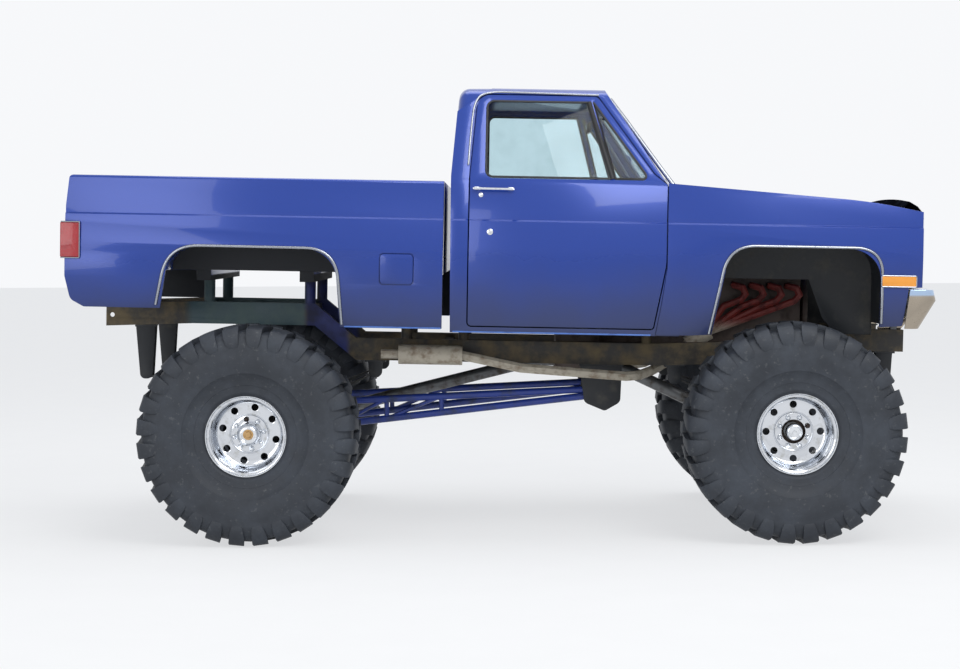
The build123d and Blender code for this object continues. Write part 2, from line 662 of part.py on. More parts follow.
def hanger(space, flange):
    """The cross hanger under the rails with the pivot pins of both ladder bars."""
    inner = LADDER_Y - LADDER_PIVOT_WIDTH / 2 - RUNNING_GAP
    outer = LADDER_Y + LADDER_PIVOT_WIDTH / 2 + RUNNING_GAP
    rows = [(LADDER_PIVOT_X - 60, LADDER_PIVOT_Z - 60, 40), (LADDER_PIVOT_X + 60, LADDER_PIVOT_Z - 111, 30),
            (LADDER_PIVOT_X + 150, LADDER_PIVOT_Z - 60, 40), (684, 1000, 0), (430, 1000, 0)]
    low = [(LADDER_PIVOT_X - 60, LADDER_PIVOT_Z - 60, 40), (LADDER_PIVOT_X + 60, LADDER_PIVOT_Z - 111, 30),
           (LADDER_PIVOT_X + 150, LADDER_PIVOT_Z - 60, 40), (LADDER_PIVOT_X + 50, LADDER_PIVOT_Z + 70, 30),
           (LADDER_PIVOT_X - 50, LADDER_PIVOT_Z + 70, 30)]
    tube_x, tube_z = LADDER_PIVOT_X + 84, LADDER_PIVOT_Z - 50
    frame = rod((tube_x, -outer - 4, tube_z), (tube_x, outer + 4, tube_z), 30)
    for side in (1, -1):
        spans = ((rows, outer, outer + HANGER_PLATE), (low, inner - HANGER_PLATE, inner))
        for outline, near, far in spans:
            near, far = sorted((side * near, side * far))
            frame += side_prism(outline, near, far)
        pin = (LADDER_PIVOT_X, side * (inner - 4), LADDER_PIVOT_Z)
        frame += rod(pin, (LADDER_PIVOT_X, side * (outer + 4), LADDER_PIVOT_Z), LADDER_PIN_RADIUS)
        near, far = sorted((side * (outer + 2), side * RAIL_OUTER_Y))
        frame += block(430, 684, near, far, 900, 1000) & flange
    return frame - space


def lift_brackets():
    """Drop brackets from the rails to the spring eyes, and the hanger that carries the ladder bars."""
    space = above_rails(RUNNING_GAP)
    flange = above_rails(RUNNING_GAP + HANGER_PLATE)
    brackets = []
    for axle_x, reach, eye_z in SPRINGS:
        for x in (axle_x - reach, axle_x + reach):
            bracket = drop_bracket(x, eye_z, space, flange)
            brackets += [Pos(0, SPRING_Y, 0) * bracket, flipped(Pos(0, SPRING_Y, 0) * bracket)]
    return brackets + [hanger(space, flange)]


def fender():
    """The left fender: skin, top flange beside the hood, open wheel arch and its pad on the cab."""
    corner_x = min(BUMPER_END_X, FENDER_FRONT_X - 65)
    outline = hood_line_rows() + [
        (FENDER_FRONT_X, BUMPER_TOP_Z + 12, 0),
        (corner_x - 8, BUMPER_TOP_Z + 8, 0),
        (corner_x - 34, FENDER_LOW_FRONT_Z, 12),
        (1010, FENDER_LOW_REAR_Z, 0),
        *FENDER_REAR_EDGE,
    ]
    section = side_section(top=2050)
    inner = [(y - SKIN, z, 0) for y, z, _ in reversed(section)]
    skin = cross_prism(section + inner, FENDER_REAR_X - 80, FENDER_FRONT_X + 1)
    skin &= side_prism(outline, DEEP_INSIDE, OUTSIDE)
    strip_rows = hood_line_rows(rear_x=COWL_NOTCH_X) + list(reversed(hood_line_rows(SKIN, COWL_NOTCH_X)))
    panel = skin + side_prism(strip_rows, HOOD_HALF + PANEL_GAP / 2, HOOD_HALF + 176) - marker(RUNNING_GAP)
    for z, reach in ((1800, HALF_WIDTH - 30), (1600, HALF_WIDTH - 12)):
        panel += block(FENDER_REAR_X + 20, FENDER_REAR_X + 70, FENDER_ROOM_Y + RUNNING_GAP, reach, z,
            z + 50)
    return panel - side_prism(FRONT_ARCH, DEEP_INSIDE, OUTSIDE)


def inner_fender():
    """The left inner panel: a wall beside the engine, and a roof and ends over the wheel."""
    rear_x, front_x = FRONT_ARCH[0][0] - 28, FRONT_ARCH[3][0] + 31
    rows = [
        (rear_x, INNER_FENDER_LOW_Z, 0), (FRONT_ARCH[1][0] - 28, INNER_FENDER_TOP_Z, 150),
        (front_x - 6, INNER_FENDER_TOP_Z, 165), (front_x, INNER_FENDER_APRON_Z, 0),
        (FRONT_AXLE_X + 300, INNER_FENDER_APRON_Z, 0), (FRONT_AXLE_X + 220, 1250, 0),
        (FRONT_AXLE_X + 140, INNER_FENDER_LOW_Z, 0),
    ]
    inner_y = INNER_FENDER_Y + INNER_FENDER_WALL
    section = side_section(SKIN + RUNNING_GAP, top=1800)
    inside = section + [(INNER_FENDER_Y, 1800, 0), (INNER_FENDER_Y, section[0][1], 0)]
    panel = side_prism(rows, INNER_FENDER_Y, OUTSIDE) & cross_prism(inside, rear_x - 1, front_x + 1)
    panel -= grown_prism(rows, -INNER_FENDER_WALL, inner_y, OUTSIDE)
    panel -= block(FRONT_ARCH[0][0] + 5, front_x - 6, inner_y, OUTSIDE, 1100, INNER_FENDER_LOW_Z + 35)
    return panel - block(FRONT_AXLE_X, front_x + 1, inner_y + 10, OUTSIDE, 1100, FENDER_LOW_FRONT_Z + 5)


def hood():
    rows = hood_line_rows(rear_x=COWL_FRONT_X + PANEL_GAP, front_x=FENDER_FRONT_X - 6)
    (x0, z0, _), (x1, z1, radius), (x2, z2, _) = rows
    path = FilletPolyline((x0, 0, z0), (x1, 0, z1), (x2, 0, z2), radius=radius)
    half = HOOD_HALF - PANEL_GAP / 2
    start = Plane(origin=path @ 0, x_dir=(0, 1, 0), z_dir=path % 0)
    edges = [
        ThreePointArc((-half, 0), (0, HOOD_CROWN), (half, 0)),
        Line((half, 0), (half, -HOOD_THICK)),
        ThreePointArc((half, -HOOD_THICK), (0, HOOD_CROWN - HOOD_THICK), (-half, -HOOD_THICK)),
        Line((-half, -HOOD_THICK), (-half, 0)),
    ]
    return sweep(start * make_face(edges), path=path)


def bug_deflector():
    """A dark shield that stands on the hood's edge, arched with its crown, and curls down in front."""
    half, hood_half = HOOD_HALF - 24, HOOD_HALF - PANEL_GAP / 2
    slope = (HOOD_BREAK_Z - HOOD_FRONT_Z) / (FENDER_FRONT_X - HOOD_BREAK_X)
    tilt = sqrt(1 + slope * slope)
    edge = HOOD_CROWN * (1 - (half / hood_half) ** 2) * tilt
    base_x = FENDER_FRONT_X - 108
    base_z = HOOD_BREAK_Z - slope * (base_x - HOOD_BREAK_X) + 2 * RUNNING_GAP
    crest = base_z + HOOD_CROWN * tilt
    path = ThreePointArc((base_x, -half, base_z + edge), (base_x, 0, crest), (base_x, half, base_z + edge))
    start = Plane(origin=path @ 0, x_dir=(1, 0, 0), z_dir=path % 0)
    foot = 32
    under = [(foot, foot * slope), (foot + 39, -32), (foot + 83, -7), (foot + 113, 28), (foot + 117, 58)]
    over = [(foot + 122, 58), (foot + 118, 26), (foot + 85, -12), (foot + 39, -38), (foot - 3,
        foot * slope - 5)]
    return sweep(start * rounded_face([(u, v, 0) for u, v in [(0, 0), *under, *over, (0, -5)]]), path=path)


def grille():
    """Core support on its legs, surround, egg-crate bars, lamp bays and hood stops in one piece."""
    back = GRILLE_X - GRILLE_DEPTH
    shell = block(back, GRILLE_X, -GRILLE_HALF, GRILLE_HALF, GRILLE_LOW_Z, GRILLE_TOP_Z)
    inner_half = GRILLE_HALF - LAMP_BAY_WIDTH
    low, high = GRILLE_LOW_Z + GRILLE_RIM, GRILLE_TOP_Z - GRILLE_RIM
    shell -= block(back - 1, GRILLE_X + 1, -inner_half, inner_half, low, high)
    for i in range(1, GRILLE_COLUMNS):
        y = -inner_half + 2 * inner_half * i / GRILLE_COLUMNS
        shell += block(back + 6, GRILLE_X - 6, y - 3, y + 3, low - 1, high + 1)
    for i in range(1, GRILLE_ROWS):
        z = low + (high - low) * i / GRILLE_ROWS
        shell += block(back + 6, GRILLE_X - 6, -inner_half - 1, inner_half + 1, z - 3, z + 3)
    for side in (1, -1):
        near, far = sorted((side * (inner_half + GRILLE_RIM), side * (GRILLE_HALF - GRILLE_RIM)))
        shell -= block(back + 12, GRILLE_X + 1, near, far, low + 70, high)
        near, far = sorted((side * 398, side * 428))
        shell += block(back + 4, back + 40, near, far, RAIL_TOP[0][1] + RUNNING_GAP, GRILLE_LOW_Z + 1)
        shell += rod((back + 14, side * HOOD_STOP_Y, GRILLE_TOP_Z - 2), (back + 14, side * HOOD_STOP_Y,
            GRILLE_TOP_Z + 42), 12)
        near, far = sorted((side * (GRILLE_HALF - 2), side * (HALF_WIDTH - 12)))
        shell += block(back + 4, back + 24, near, far, 1560, 1640)
    shell -= Pos(0, 0, -RUNNING_GAP) * hood_panel
    shell -= Pos(0, -RUNNING_GAP, 0) * left_fender
    return shell - flipped(Pos(0, -RUNNING_GAP, 0) * left_fender)


def marker(grow=0.0):
    return block(MARKER_REAR_X - grow, MARKER_FRONT_X + grow, HALF_WIDTH - 14 - grow, HALF_WIDTH + 4 + grow,
                 MARKER_LOW_Z - grow, MARKER_HIGH_Z + grow)


def radiator():
    """A closed core behind the grille, held between the legs of the core support."""
    front = GRILLE_X - GRILLE_DEPTH - RUNNING_GAP
    return block(front - 56, front, -440, 440, 1300, 1780)


def front_lamps():
    lamps = []
    inner_half = GRILLE_HALF - LAMP_BAY_WIDTH
    back = GRILLE_X - GRILLE_DEPTH + 12 + RUNNING_GAP
    low, high = GRILLE_LOW_Z + GRILLE_RIM + 78, GRILLE_TOP_Z - GRILLE_RIM - 8
    middle = (low + high) / 2
    for side in (1, -1):
        near, far = sorted((side * (inner_half + GRILLE_RIM + 12), side * (GRILLE_HALF - GRILLE_RIM - 12)))
        for z_low, z_high in ((low, middle - 5), (middle + 5, high)):
            lamps.append(block(back, GRILLE_X - 8, near, far, z_low, z_high))
        lamps.append(marker() if side == 1 else flipped(marker()))
    return lamps


def bumper():
    """The face bar with its rail brackets: it leans back either side of its nose line and wraps its ends."""
    def bar(shrink, low_z, high_z):
        rows = [
            (BUMPER_NOSE_X - shrink, -30, 0), (BUMPER_NOSE_X - shrink, 30, 0),
            (BUMPER_NOSE_X - 16 - shrink, 640, 900), (BUMPER_NOSE_X - 74 - shrink, BUMPER_HALF - shrink,
                60),
            (BUMPER_END_X - 200, BUMPER_HALF - shrink, 0), (BUMPER_END_X - 200, -BUMPER_HALF + shrink, 0),
            (BUMPER_NOSE_X - 74 - shrink, -BUMPER_HALF + shrink, 60), (BUMPER_NOSE_X - 16 - shrink,
                -640, 900),
        ]
        nose_z = BUMPER_TOP_Z - BUMPER_BROW
        face = Pos(0, 0, nose_z) * rounded_face(rows)
        fall = Vector(-BUMPER_LEAN, 0, BUMPER_LOW_Z - nose_z)
        rise = Vector(-14, 0, BUMPER_BROW)
        lower = extrude(face, amount=fall.length * (nose_z - low_z) / (nose_z - BUMPER_LOW_Z), dir=fall)
        upper = extrude(face, amount=rise.length * (high_z - nose_z) / BUMPER_BROW, dir=rise)
        return lower + upper
    bar_solid = bar(0, BUMPER_LOW_Z, BUMPER_TOP_Z) - bar(BUMPER_WALL, BUMPER_LOW_Z - 10,
        BUMPER_TOP_Z - BUMPER_WALL)
    trim = [(BUMPER_END_X, BUMPER_TOP_Z + 5, 0), (BUMPER_NOSE_X + 9, BUMPER_TOP_Z + 5, 0),
            (BUMPER_NOSE_X + 9, BUMPER_LOW_Z - 5, 0), (BUMPER_END_X - 27, BUMPER_LOW_Z - 5, 0)]
    bar_solid &= side_prism(trim, -OUTSIDE, OUTSIDE)
    bar_solid -= block(BUMPER_END_X - 108, BUMPER_NOSE_X - 104, -BUMPER_HALF + 70, BUMPER_HALF - 70,
                       BUMPER_LOW_Z - 50, BUMPER_TOP_Z + 20)
    seat = RAIL_TOP[0][1] + RUNNING_GAP
    seat_x = min(RAIL_TOP[0][0] - 10, BUMPER_NOSE_X - 144)
    bracket = [(seat_x - 130, seat, 0), (seat_x, seat, 0), (BUMPER_NOSE_X - 67, 1280, 0),
        (BUMPER_NOSE_X - 32, 1340, 0),
               (BUMPER_NOSE_X - 48, 1344, 0), (seat_x - 12, 1215, 0), (seat_x - 130, seat + 14, 0)]
    for side in (1, -1):
        near, far = sorted((side * 370, side * 392))
        bar_solid += side_prism(bracket, near, far)
    return bar_solid


def cab_solid(grow=0.0):
    """The closed outer form of the cab, shrunk inwards by a negative grow."""
    section = [
        (0, SILL_Z - grow, 0),
        (HALF_WIDTH - TUCK_UNDER + grow, SILL_Z - grow, 0),
        (HALF_WIDTH - 6 + grow, CREASE_Z - 350, 900),
        (HALF_WIDTH + grow, CREASE_Z - 160, 900),
        (HALF_WIDTH - 8 + grow, CREASE_Z, 0),
        (HALF_WIDTH - 8 - CREASE_STEP + grow, CREASE_Z + 9, 0),
        (HALF_WIDTH - BELT_INSET + 11 + grow, BELT_Z - 20, 0),
        (HALF_WIDTH - BELT_INSET - 8 + grow, BELT_Z + 12, 0),
        (DRIP_HALF_WIDTH + grow, DRIP_Z, 40),
        (ROOF_HALF_WIDTH + grow, ROOF_Z - 16 + grow, 200),
        (0, ROOF_Z + ROOF_CROWN + grow, 0),
    ]
    half = cross_prism(section, CAB_REAR_X - 100, FIREWALL_X + 200)
    return half + flipped(half)


def screen_blank(shift=0.0):
    """Everything behind the bowed windscreen surface, moved inwards by shift."""
    slope = Vector(SCREEN_BASE_X - SCREEN_TOP_X, 0, SCREEN_BASE_Z - SCREEN_TOP_Z)
    length = slope.length
    along = slope.normalized()
    top = Vector(SCREEN_TOP_X, 0, SCREEN_TOP_Z) - along * 400
    plane = Plane(origin=(top.X, 0, top.Z), x_dir=(0, 1, 0), z_dir=along)
    reach = OUTSIDE
    side_y = SCREEN_BOW * (1 - (reach / SCREEN_BOW_HALF) ** 2) - shift
    behind = BED_REAR_X - 200
    edges = [
        ThreePointArc((-reach, side_y), (0, SCREEN_BOW - shift), (reach, side_y)),
        Line((reach, side_y), (reach, behind)),
        Line((reach, behind), (-reach, behind)),
        Line((-reach, behind), (-reach, side_y)),
    ]
    sheet = make_face(edges)
    return extrude(plane * sheet, amount=length + 1600)


def grown_prism(rows, grow, y_low, y_high):
    """A side prism whose outline is pushed outwards by grow all round."""
    face = offset(rounded_face(rows), amount=grow, kind=Kind.INTERSECTION)
    return extrude(Pos(0, y_low, 0) * (Plane.XZ * face), amount=y_high - y_low, dir=(0, 1, 0))


def screen_opening(shrink=0.0):
    """A bar through the windscreen frame, square to the glass."""
    along = Vector(SCREEN_BASE_X - SCREEN_TOP_X, 0, SCREEN_BASE_Z - SCREEN_TOP_Z)
    plane = Plane(origin=(SCREEN_TOP_X, 0, SCREEN_TOP_Z), x_dir=(0, 1, 0), z_dir=Vector(-along.Z, 0,
        along.X))
    low = along.length - 26 - shrink
    high = 62 + shrink
    rows = [(-664 + shrink, -high, 60), (664 - shrink, -high, 60), (838 - shrink, -low, 60),
        (-838 + shrink, -low, 60)]
    return extrude(plane * rounded_face(rows), amount=220, both=True)


def back_window(shrink, x_low, x_high):
    half = BACK_WINDOW_HALF - shrink
    rows = [(-half, 2036 + shrink, 50), (half, 2036 + shrink, 50), (half - 60, 2400 - shrink, 50),
            (-half + 60, 2400 - shrink, 50)]
    return cross_prism(rows, x_low, x_high)


def cab_shell():
    outer = cab_solid() & side_prism(CAB_SIDE, -OUTSIDE, OUTSIDE) & screen_blank()
    wall = CAB_WALL
    cavity_side = [
        (CAB_REAR_X + wall, CAB_FLOOR_Z, 0), (CAB_REAR_X - 8 + wall, BELT_Z + 30, 0),
        (CAB_REAR_X + CAB_REAR_LEAN + wall, ROOF_Z + 60, 0), (FIREWALL_X - wall, ROOF_Z + 60, 0),
        (FIREWALL_X - wall, CAB_FLOOR_Z, 0),
    ]
    cavity = cab_solid(-wall) & side_prism(cavity_side, -OUTSIDE, OUTSIDE) & screen_blank(wall)
    pillars = block(-400, 1100, PILLAR_INNER_Y, OUTSIDE, SILL_Z, WINDOW_SILL_Z - 20)
    cavity = cavity - pillars - flipped(pillars)
    shell = outer - cavity
    skin_cut = cab_solid(10) - cab_solid(-DOOR_FRAME_THICK - RUNNING_GAP)
    room_rows = [(x - 4, z - 8, 0) for x, z, _ in FENDER_REAR_EDGE] + [
        (FENDER_REAR_X - 4, BELT_Z + 10, 0), (1100, BELT_Z + 10, 0), (1100, FENDER_LOW_REAR_Z - 8, 0)]
    for side in (1, -1):
        outer_cut = grown_prism(door_side(0), PANEL_GAP, DOOR_INSIDE, OUTSIDE) & skin_cut
        deep_cut = grown_prism(door_side(0), PANEL_GAP, PILLAR_INNER_Y + 20 - RUNNING_GAP, OUTSIDE)
        deep_cut &= block(-400, 1100, 0, OUTSIDE, SILL_Z, WINDOW_SILL_Z)
        through = grown_prism(door_side(0), -SEAL_LAP, DOOR_INSIDE, OUTSIDE)
        fender_room = side_prism(room_rows, FENDER_ROOM_Y, OUTSIDE)
        for cut in (outer_cut, deep_cut, through, fender_room):
            shell -= cut if side == 1 else flipped(cut)
    shell -= screen_opening()
    shell -= back_window(0, CAB_REAR_X - 60, CAB_REAR_X + 160)
    cowl_half = HOOD_HALF - PANEL_GAP / 2 - 4
    slope = (HOOD_REAR_Z - HOOD_BREAK_Z) / (HOOD_BREAK_X - COWL_FRONT_X)
    cowl_rows = [
        (FIREWALL_X - 80, HOOD_REAR_Z + slope * (COWL_FRONT_X - FIREWALL_X + 80), 0), (COWL_FRONT_X,
            HOOD_REAR_Z, 12),
        (COWL_FRONT_X, HOOD_REAR_Z - COWL_DEPTH, 12), (FIREWALL_X - 20, HOOD_REAR_Z - COWL_DEPTH, 0),
        (FIREWALL_X - 80, HOOD_REAR_Z - 60, 0),
    ]
    shell += side_prism(cowl_rows, -cowl_half, cowl_half) - cavity
    rest = [(COWL_FRONT_X - 20, 1880, 0), (COWL_FRONT_X - 20, 1910, 0), (COWL_FRONT_X + 24, 1962, 0),
            (COWL_FRONT_X + 50, 1962, 0), (COWL_FRONT_X + 50, 1880, 0)]
    for side in (1, -1):
        near, far = sorted((side * (HOOD_STOP_Y - 20), side * (HOOD_STOP_Y + 20)))
        shell += side_prism(rest, near, far) - Pos(0, 0, -RUNNING_GAP) * hood_panel
    return shell


def behind_screen(z, inset):
    """The point at height z that stands inset behind the windscreen's side line, square to it."""
    run, fall = SCREEN_BASE_X - SCREEN_TOP_X, SCREEN_TOP_Z - SCREEN_BASE_Z
    return SCREEN_TOP_X + (SCREEN_TOP_Z - z) * run / fall - inset * sqrt(run * run + fall * fall) / fall


def door_side(slack):
    """The door's outline from the side, its upper rear corner drawn forward by slack for the swing."""
    head = DRIP_Z - 16
    return [
        (DOOR_REAR_X, DOOR_BOTTOM_Z, 20), (DOOR_REAR_X, BELT_Z + 24, 0), (DOOR_REAR_X + 29 + slack,
            head, 70),
        (behind_screen(head, PILLAR_FACE), head, 40), (behind_screen(2030, PILLAR_FACE), 2030,
            60), (DOOR_FRONT_X, BELT_Z, 15),
        (DOOR_FRONT_X, 1540, 300), (812, DOOR_BOTTOM_Z, 15),
    ]


def window_side():
    """The glazed opening of a door from the side."""
    return [
        (-123, WINDOW_SILL_Z, 45), (-123, WINDOW_HEAD_Z, 45), (behind_screen(WINDOW_HEAD_Z,
            WINDOW_FRONT_INSET), WINDOW_HEAD_Z, 30),
        (behind_screen(WINDOW_SILL_Z, WINDOW_FRONT_INSET), WINDOW_SILL_Z, 25),
    ]


def vent_bar(width, y_low, y_high):
    half = width / 2
    top_x = behind_screen(WINDOW_HEAD_Z, WINDOW_FRONT_INSET) - 22
    rows = [
        (top_x - half, WINDOW_HEAD_Z + 4, 0), (top_x + half, WINDOW_HEAD_Z + 4, 0),
        (VENT_BAR_FOOT_X + half, WINDOW_SILL_Z - 4, 0), (VENT_BAR_FOOT_X - half, WINDOW_SILL_Z - 4, 0),
    ]
    return side_prism(rows, y_low, y_high)


def door():
    """The left door: outer skin and window frame, with the deep inner box below the belt."""
    frame_shell = cab_solid() - cab_solid(-DOOR_FRAME_THICK)
    skin = frame_shell & side_prism(door_side(DOOR_SWING_SLACK), DOOR_INSIDE, OUTSIDE)
    box = cab_solid(-2) & grown_prism(door_side(DOOR_SWING_SLACK), -DOOR_BOX_INSET, PILLAR_INNER_Y + 20,
        OUTSIDE)
    box &= block(-400, 1100, 0, OUTSIDE, SILL_Z, WINDOW_SILL_Z - 18)
    glazed = skin - side_prism(window_side(), DOOR_INSIDE, OUTSIDE)
    bar = frame_shell & vent_bar(VENT_BAR_WIDTH, DOOR_INSIDE, OUTSIDE)
    return glazed + box + bar


def door_mirror():
    """A painted mirror housing on a leaning foot at the front corner of the left door's window."""
    foot_y = HALF_WIDTH - BELT_INSET - 10
    foot = cross_prism([(foot_y - 12, BELT_Z - 10, 0), (foot_y + 8, BELT_Z - 10, 0), (foot_y + 76, 2130, 0),
                        (foot_y + 40, 2130, 0)], 734, 776)
    head = [(704, 2110, 0), (760, 2110, 20), (804, 2140, 20), (804, 2200, 20), (760, 2227, 20), (704,
        2227, 0)]
    return foot + side_prism(head, foot_y + 30, foot_y + 170)


def door_glass():
    pane = cab_solid(-9) - cab_solid(-9 - GLASS_THICK)
    pane &= grown_prism(window_side(), -RUNNING_GAP, DOOR_INSIDE, OUTSIDE)
    pane -= vent_bar(VENT_BAR_WIDTH + 2 * RUNNING_GAP, DOOR_INSIDE, OUTSIDE)
    return list(pane.solids())


def cab_glass():
    screen = screen_blank(10) - screen_blank(10 + GLASS_THICK)
    screen &= screen_opening(RUNNING_GAP)
    lean = CAB_REAR_LEAN + 8
    rise = ROOF_Z + 60 - BELT_Z - 30
    x = CAB_REAR_X - 8 + 16
    rows = [(x, BELT_Z + 30, 0), (x + lean, BELT_Z + 30 + rise, 0), (x + lean + GLASS_THICK,
        BELT_Z + 30 + rise, 0),
            (x + GLASS_THICK, BELT_Z + 30, 0)]
    back = side_prism(rows, -800, 800) & back_window(RUNNING_GAP, CAB_REAR_X - 60, CAB_REAR_X + 160)
    return list(screen.solids()) + list(back.solids())


def bench_seat():
    floor = CAB_FLOOR_Z + RUNNING_GAP
    rows = [
        (360, floor, 0), (410, 1330, 40), (415, 1500, 60), (-60, 1465, 30), (-150, 1940, 50), (-232,
            1930, 30),
        (-200, floor, 0),
    ]
    return side_prism(rows, -SEAT_HALF, SEAT_HALF)


def dashboard():
    """The dash moulding across the cab with the steering column and wheel on the left."""
    face = FIREWALL_X - CAB_WALL - RUNNING_GAP
    rows = [(face, 1640, 0), (720, 1640, 40), (690, 1790, 60), (750, 1905, 50), (850, 1905, 0), (face,
        1830, 0)]
    dash = side_prism(rows, -PILLAR_INNER_Y + 8, PILLAR_INNER_Y - 8)
    foot, hub = Vector(720, COLUMN_Y, 1760), Vector(455, COLUMN_Y, 1885)
    along = (hub - foot).normalized()
    column = rod(foot, hub, 26)
    section = [(13 * sin(radians(a)), WHEEL_RIM_RADIUS + 13 * cos(radians(a))) for a in range(0, 360, 60)]
    flat = Plane(origin=hub, z_dir=along)
    ring = flat * Rot(90, 0, 0) * turned(section, 20)
    spokes = flat * Box(34, 2 * WHEEL_RIM_RADIUS - 8, 14)
    centre = rod(hub - along * 17, hub + along * 17, 58)
    return dash + column + ring + spokes + centre


def bed_side():
    """The left bedside: outer skin hanging below the floor and a closed wall above it."""
    outer = side_section(top=BED_TOP_Z)
    low = SILL_Z - 40
    floor_low = BED_FLOOR_Z - BED_FLOOR_THICK
    top_y = outer[-1][0]
    section = outer[:-1] + [(top_y, BED_TOP_Z, 16), (BED_INNER_HALF, BED_TOP_Z, 8), (BED_INNER_HALF,
        floor_low, 0)]
    inner_low = [(y - SKIN, z, 0) for y, z, _ in reversed(outer[:2])]
    section += [(HALF_WIDTH - SKIN - 4, floor_low, 0)] + inner_low
    side = cross_prism(section, BED_REAR_X - 40, BED_FRONT_X)
    outline = [
        (BED_FRONT_X, BED_LOW_FRONT_Z, 0), (BED_FRONT_X, BED_TOP_Z, 0), (BED_REAR_X + 18, BED_TOP_Z, 24),
        (BED_REAR_X, CREASE_Z + 45, 0), (BED_REAR_X - 3, CREASE_Z - 340, 60), (BED_REAR_X + 26,
            BED_LOW_REAR_Z + 40, 50),
        (BED_REAR_X + 100, BED_LOW_REAR_Z, 30), (-1500, BED_LOW_REAR_Z, 0), (-1500, BED_LOW_FRONT_Z, 0),
    ]
    side &= side_prism(outline, DEEP_INSIDE, OUTSIDE)
    post = block(BED_REAR_X + 6, BED_REAR_X + 60, TAILGATE_HALF + PANEL_GAP, BED_INNER_HALF + 10,
        TAILGATE_LOW_Z, BED_TOP_Z)
    side = side + post
    side -= side_prism(REAR_ARCH, DEEP_INSIDE, OUTSIDE)
    side -= tail_lamp(RUNNING_GAP)
    pin = Pos(TAILGATE_AXIS_X, TAILGATE_HALF + PANEL_GAP, TAILGATE_AXIS_Z)
    side -= pin * Rot(90, 0, 0) * Cylinder(TAILGATE_PIN_RADIUS + RUNNING_GAP, 60)
    return side


def tail_lamp(grow=0.0):
    rear = BED_REAR_X - LAMP_PROUD - grow
    outside = HALF_WIDTH + 4 + grow
    return block(rear, rear + LAMP_LENGTH + 2 * grow, outside - LAMP_WIDTH - 2 * grow, outside,
                 LAMP_LOW_Z - grow, LAMP_HIGH_Z + grow)


def outer_slab(depth, x_low, x_high):
    """The outer layer of the body side, depth thick, between two stations."""
    section = side_section(top=BED_TOP_Z)
    inner = [(y - depth, z, 0) for y, z, _ in reversed(section)]
    return cross_prism(section + inner, x_low, x_high)


def fuel_outline(grow):
    return [
        (FUEL_REAR_X - grow, FUEL_LOW_Z - grow, 22), (FUEL_FRONT_X + grow, FUEL_LOW_Z - grow, 22),
        (FUEL_FRONT_X + grow, FUEL_HIGH_Z + grow, 22), (FUEL_REAR_X - grow, FUEL_HIGH_Z + grow, 22),
    ]


def fuel_door():
    lid = outer_slab(FUEL_THICK, FUEL_REAR_X - 5, FUEL_FRONT_X + 5) & side_prism(fuel_outline(0),
        HALF_WIDTH - 111, OUTSIDE)
    return flipped(lid)


def right_bed_side():
    """The right bedside, with the filler pocket behind its lid."""
    side = bed_side()
    shallow = outer_slab(FUEL_THICK + RUNNING_GAP, FUEL_REAR_X - 20, FUEL_FRONT_X + 20)
    side -= shallow & side_prism(fuel_outline(FUEL_GAP), HALF_WIDTH - 111, OUTSIDE)
    pocket = side_prism(fuel_outline(-10), HALF_WIDTH - 70, OUTSIDE)
    side += side_prism(fuel_outline(12), HALF_WIDTH - 88, HALF_WIDTH - FUEL_THICK - 8)
    side -= pocket
    cap_x, cap_z = (FUEL_REAR_X + FUEL_FRONT_X) / 2, (FUEL_LOW_Z + FUEL_HIGH_Z) / 2
    side += rod((cap_x, HALF_WIDTH - 82, cap_z), (cap_x, HALF_WIDTH - 38, cap_z), 38)
    return flipped(side)


def bed_floor():
    """Bed floor with its ribs, wheel tubs, front wall and the cross sills underneath."""
    rear = BED_REAR_X + TAILGATE_THICK + PANEL_GAP
    front = BED_FRONT_X - RUNNING_GAP
    half = BED_INNER_HALF - RUNNING_GAP
    low = BED_FLOOR_Z - BED_FLOOR_THICK
    floor = block(rear, front, -half, half, low, BED_FLOOR_Z)
    floor += block(front - BED_WALL, front, -half, half, low, BED_TOP_Z)
    for i in range(BED_RIBS):
        y = (i - (BED_RIBS - 1) / 2) * BED_RIB_PITCH
        floor += block(rear + 20, front - BED_WALL - 20, y - 24, y + 24, BED_FLOOR_Z - 1, BED_FLOOR_Z + 9)
    tub = [(REAR_ARCH[0][0] + 20, low, 0), (REAR_ARCH[1][0] - 10, TUB_TOP_Z, 180),
        (REAR_ARCH[2][0] + 10, TUB_TOP_Z, 180),
           (REAR_ARCH[3][0] - 10, low, 0)]
    for side in (1, -1):
        outer = side_prism(tub, TUB_INNER_HALF, half)
        inner = grown_prism(tub, -TUB_WALL, TUB_INNER_HALF + TUB_WALL, half + 50)
        inner += block(tub[0][0] + TUB_WALL, tub[3][0] - TUB_WALL, TUB_INNER_HALF + TUB_WALL, half + 50,
            low - 50, low + 60)
        floor += outer if side == 1 else flipped(outer)
        floor -= inner if side == 1 else flipped(inner)
    for x in MOUNTS_BED:
        reach = TUB_INNER_HALF if tub[0][0] < x < tub[3][0] else half
        floor += block(x - 40, x + 40, -reach, reach, low - BED_SILL_HEIGHT, low + 1)
    return floor


def tailgate():
    gate = block(BED_REAR_X, BED_REAR_X + TAILGATE_THICK, -TAILGATE_HALF, TAILGATE_HALF, TAILGATE_LOW_Z,
        BED_TOP_Z - 4)
    gate -= block(BED_REAR_X - 1, BED_REAR_X + 10, -TAILGATE_HALF + 110, TAILGATE_HALF - 110, 1545, 1880)
    for side in (1, -1):
        pin = Rot(90, 0, 0) * Cylinder(TAILGATE_PIN_RADIUS, 34)
        gate += Pos(TAILGATE_AXIS_X, side * (TAILGATE_HALF + 9), TAILGATE_AXIS_Z) * pin
    return gate


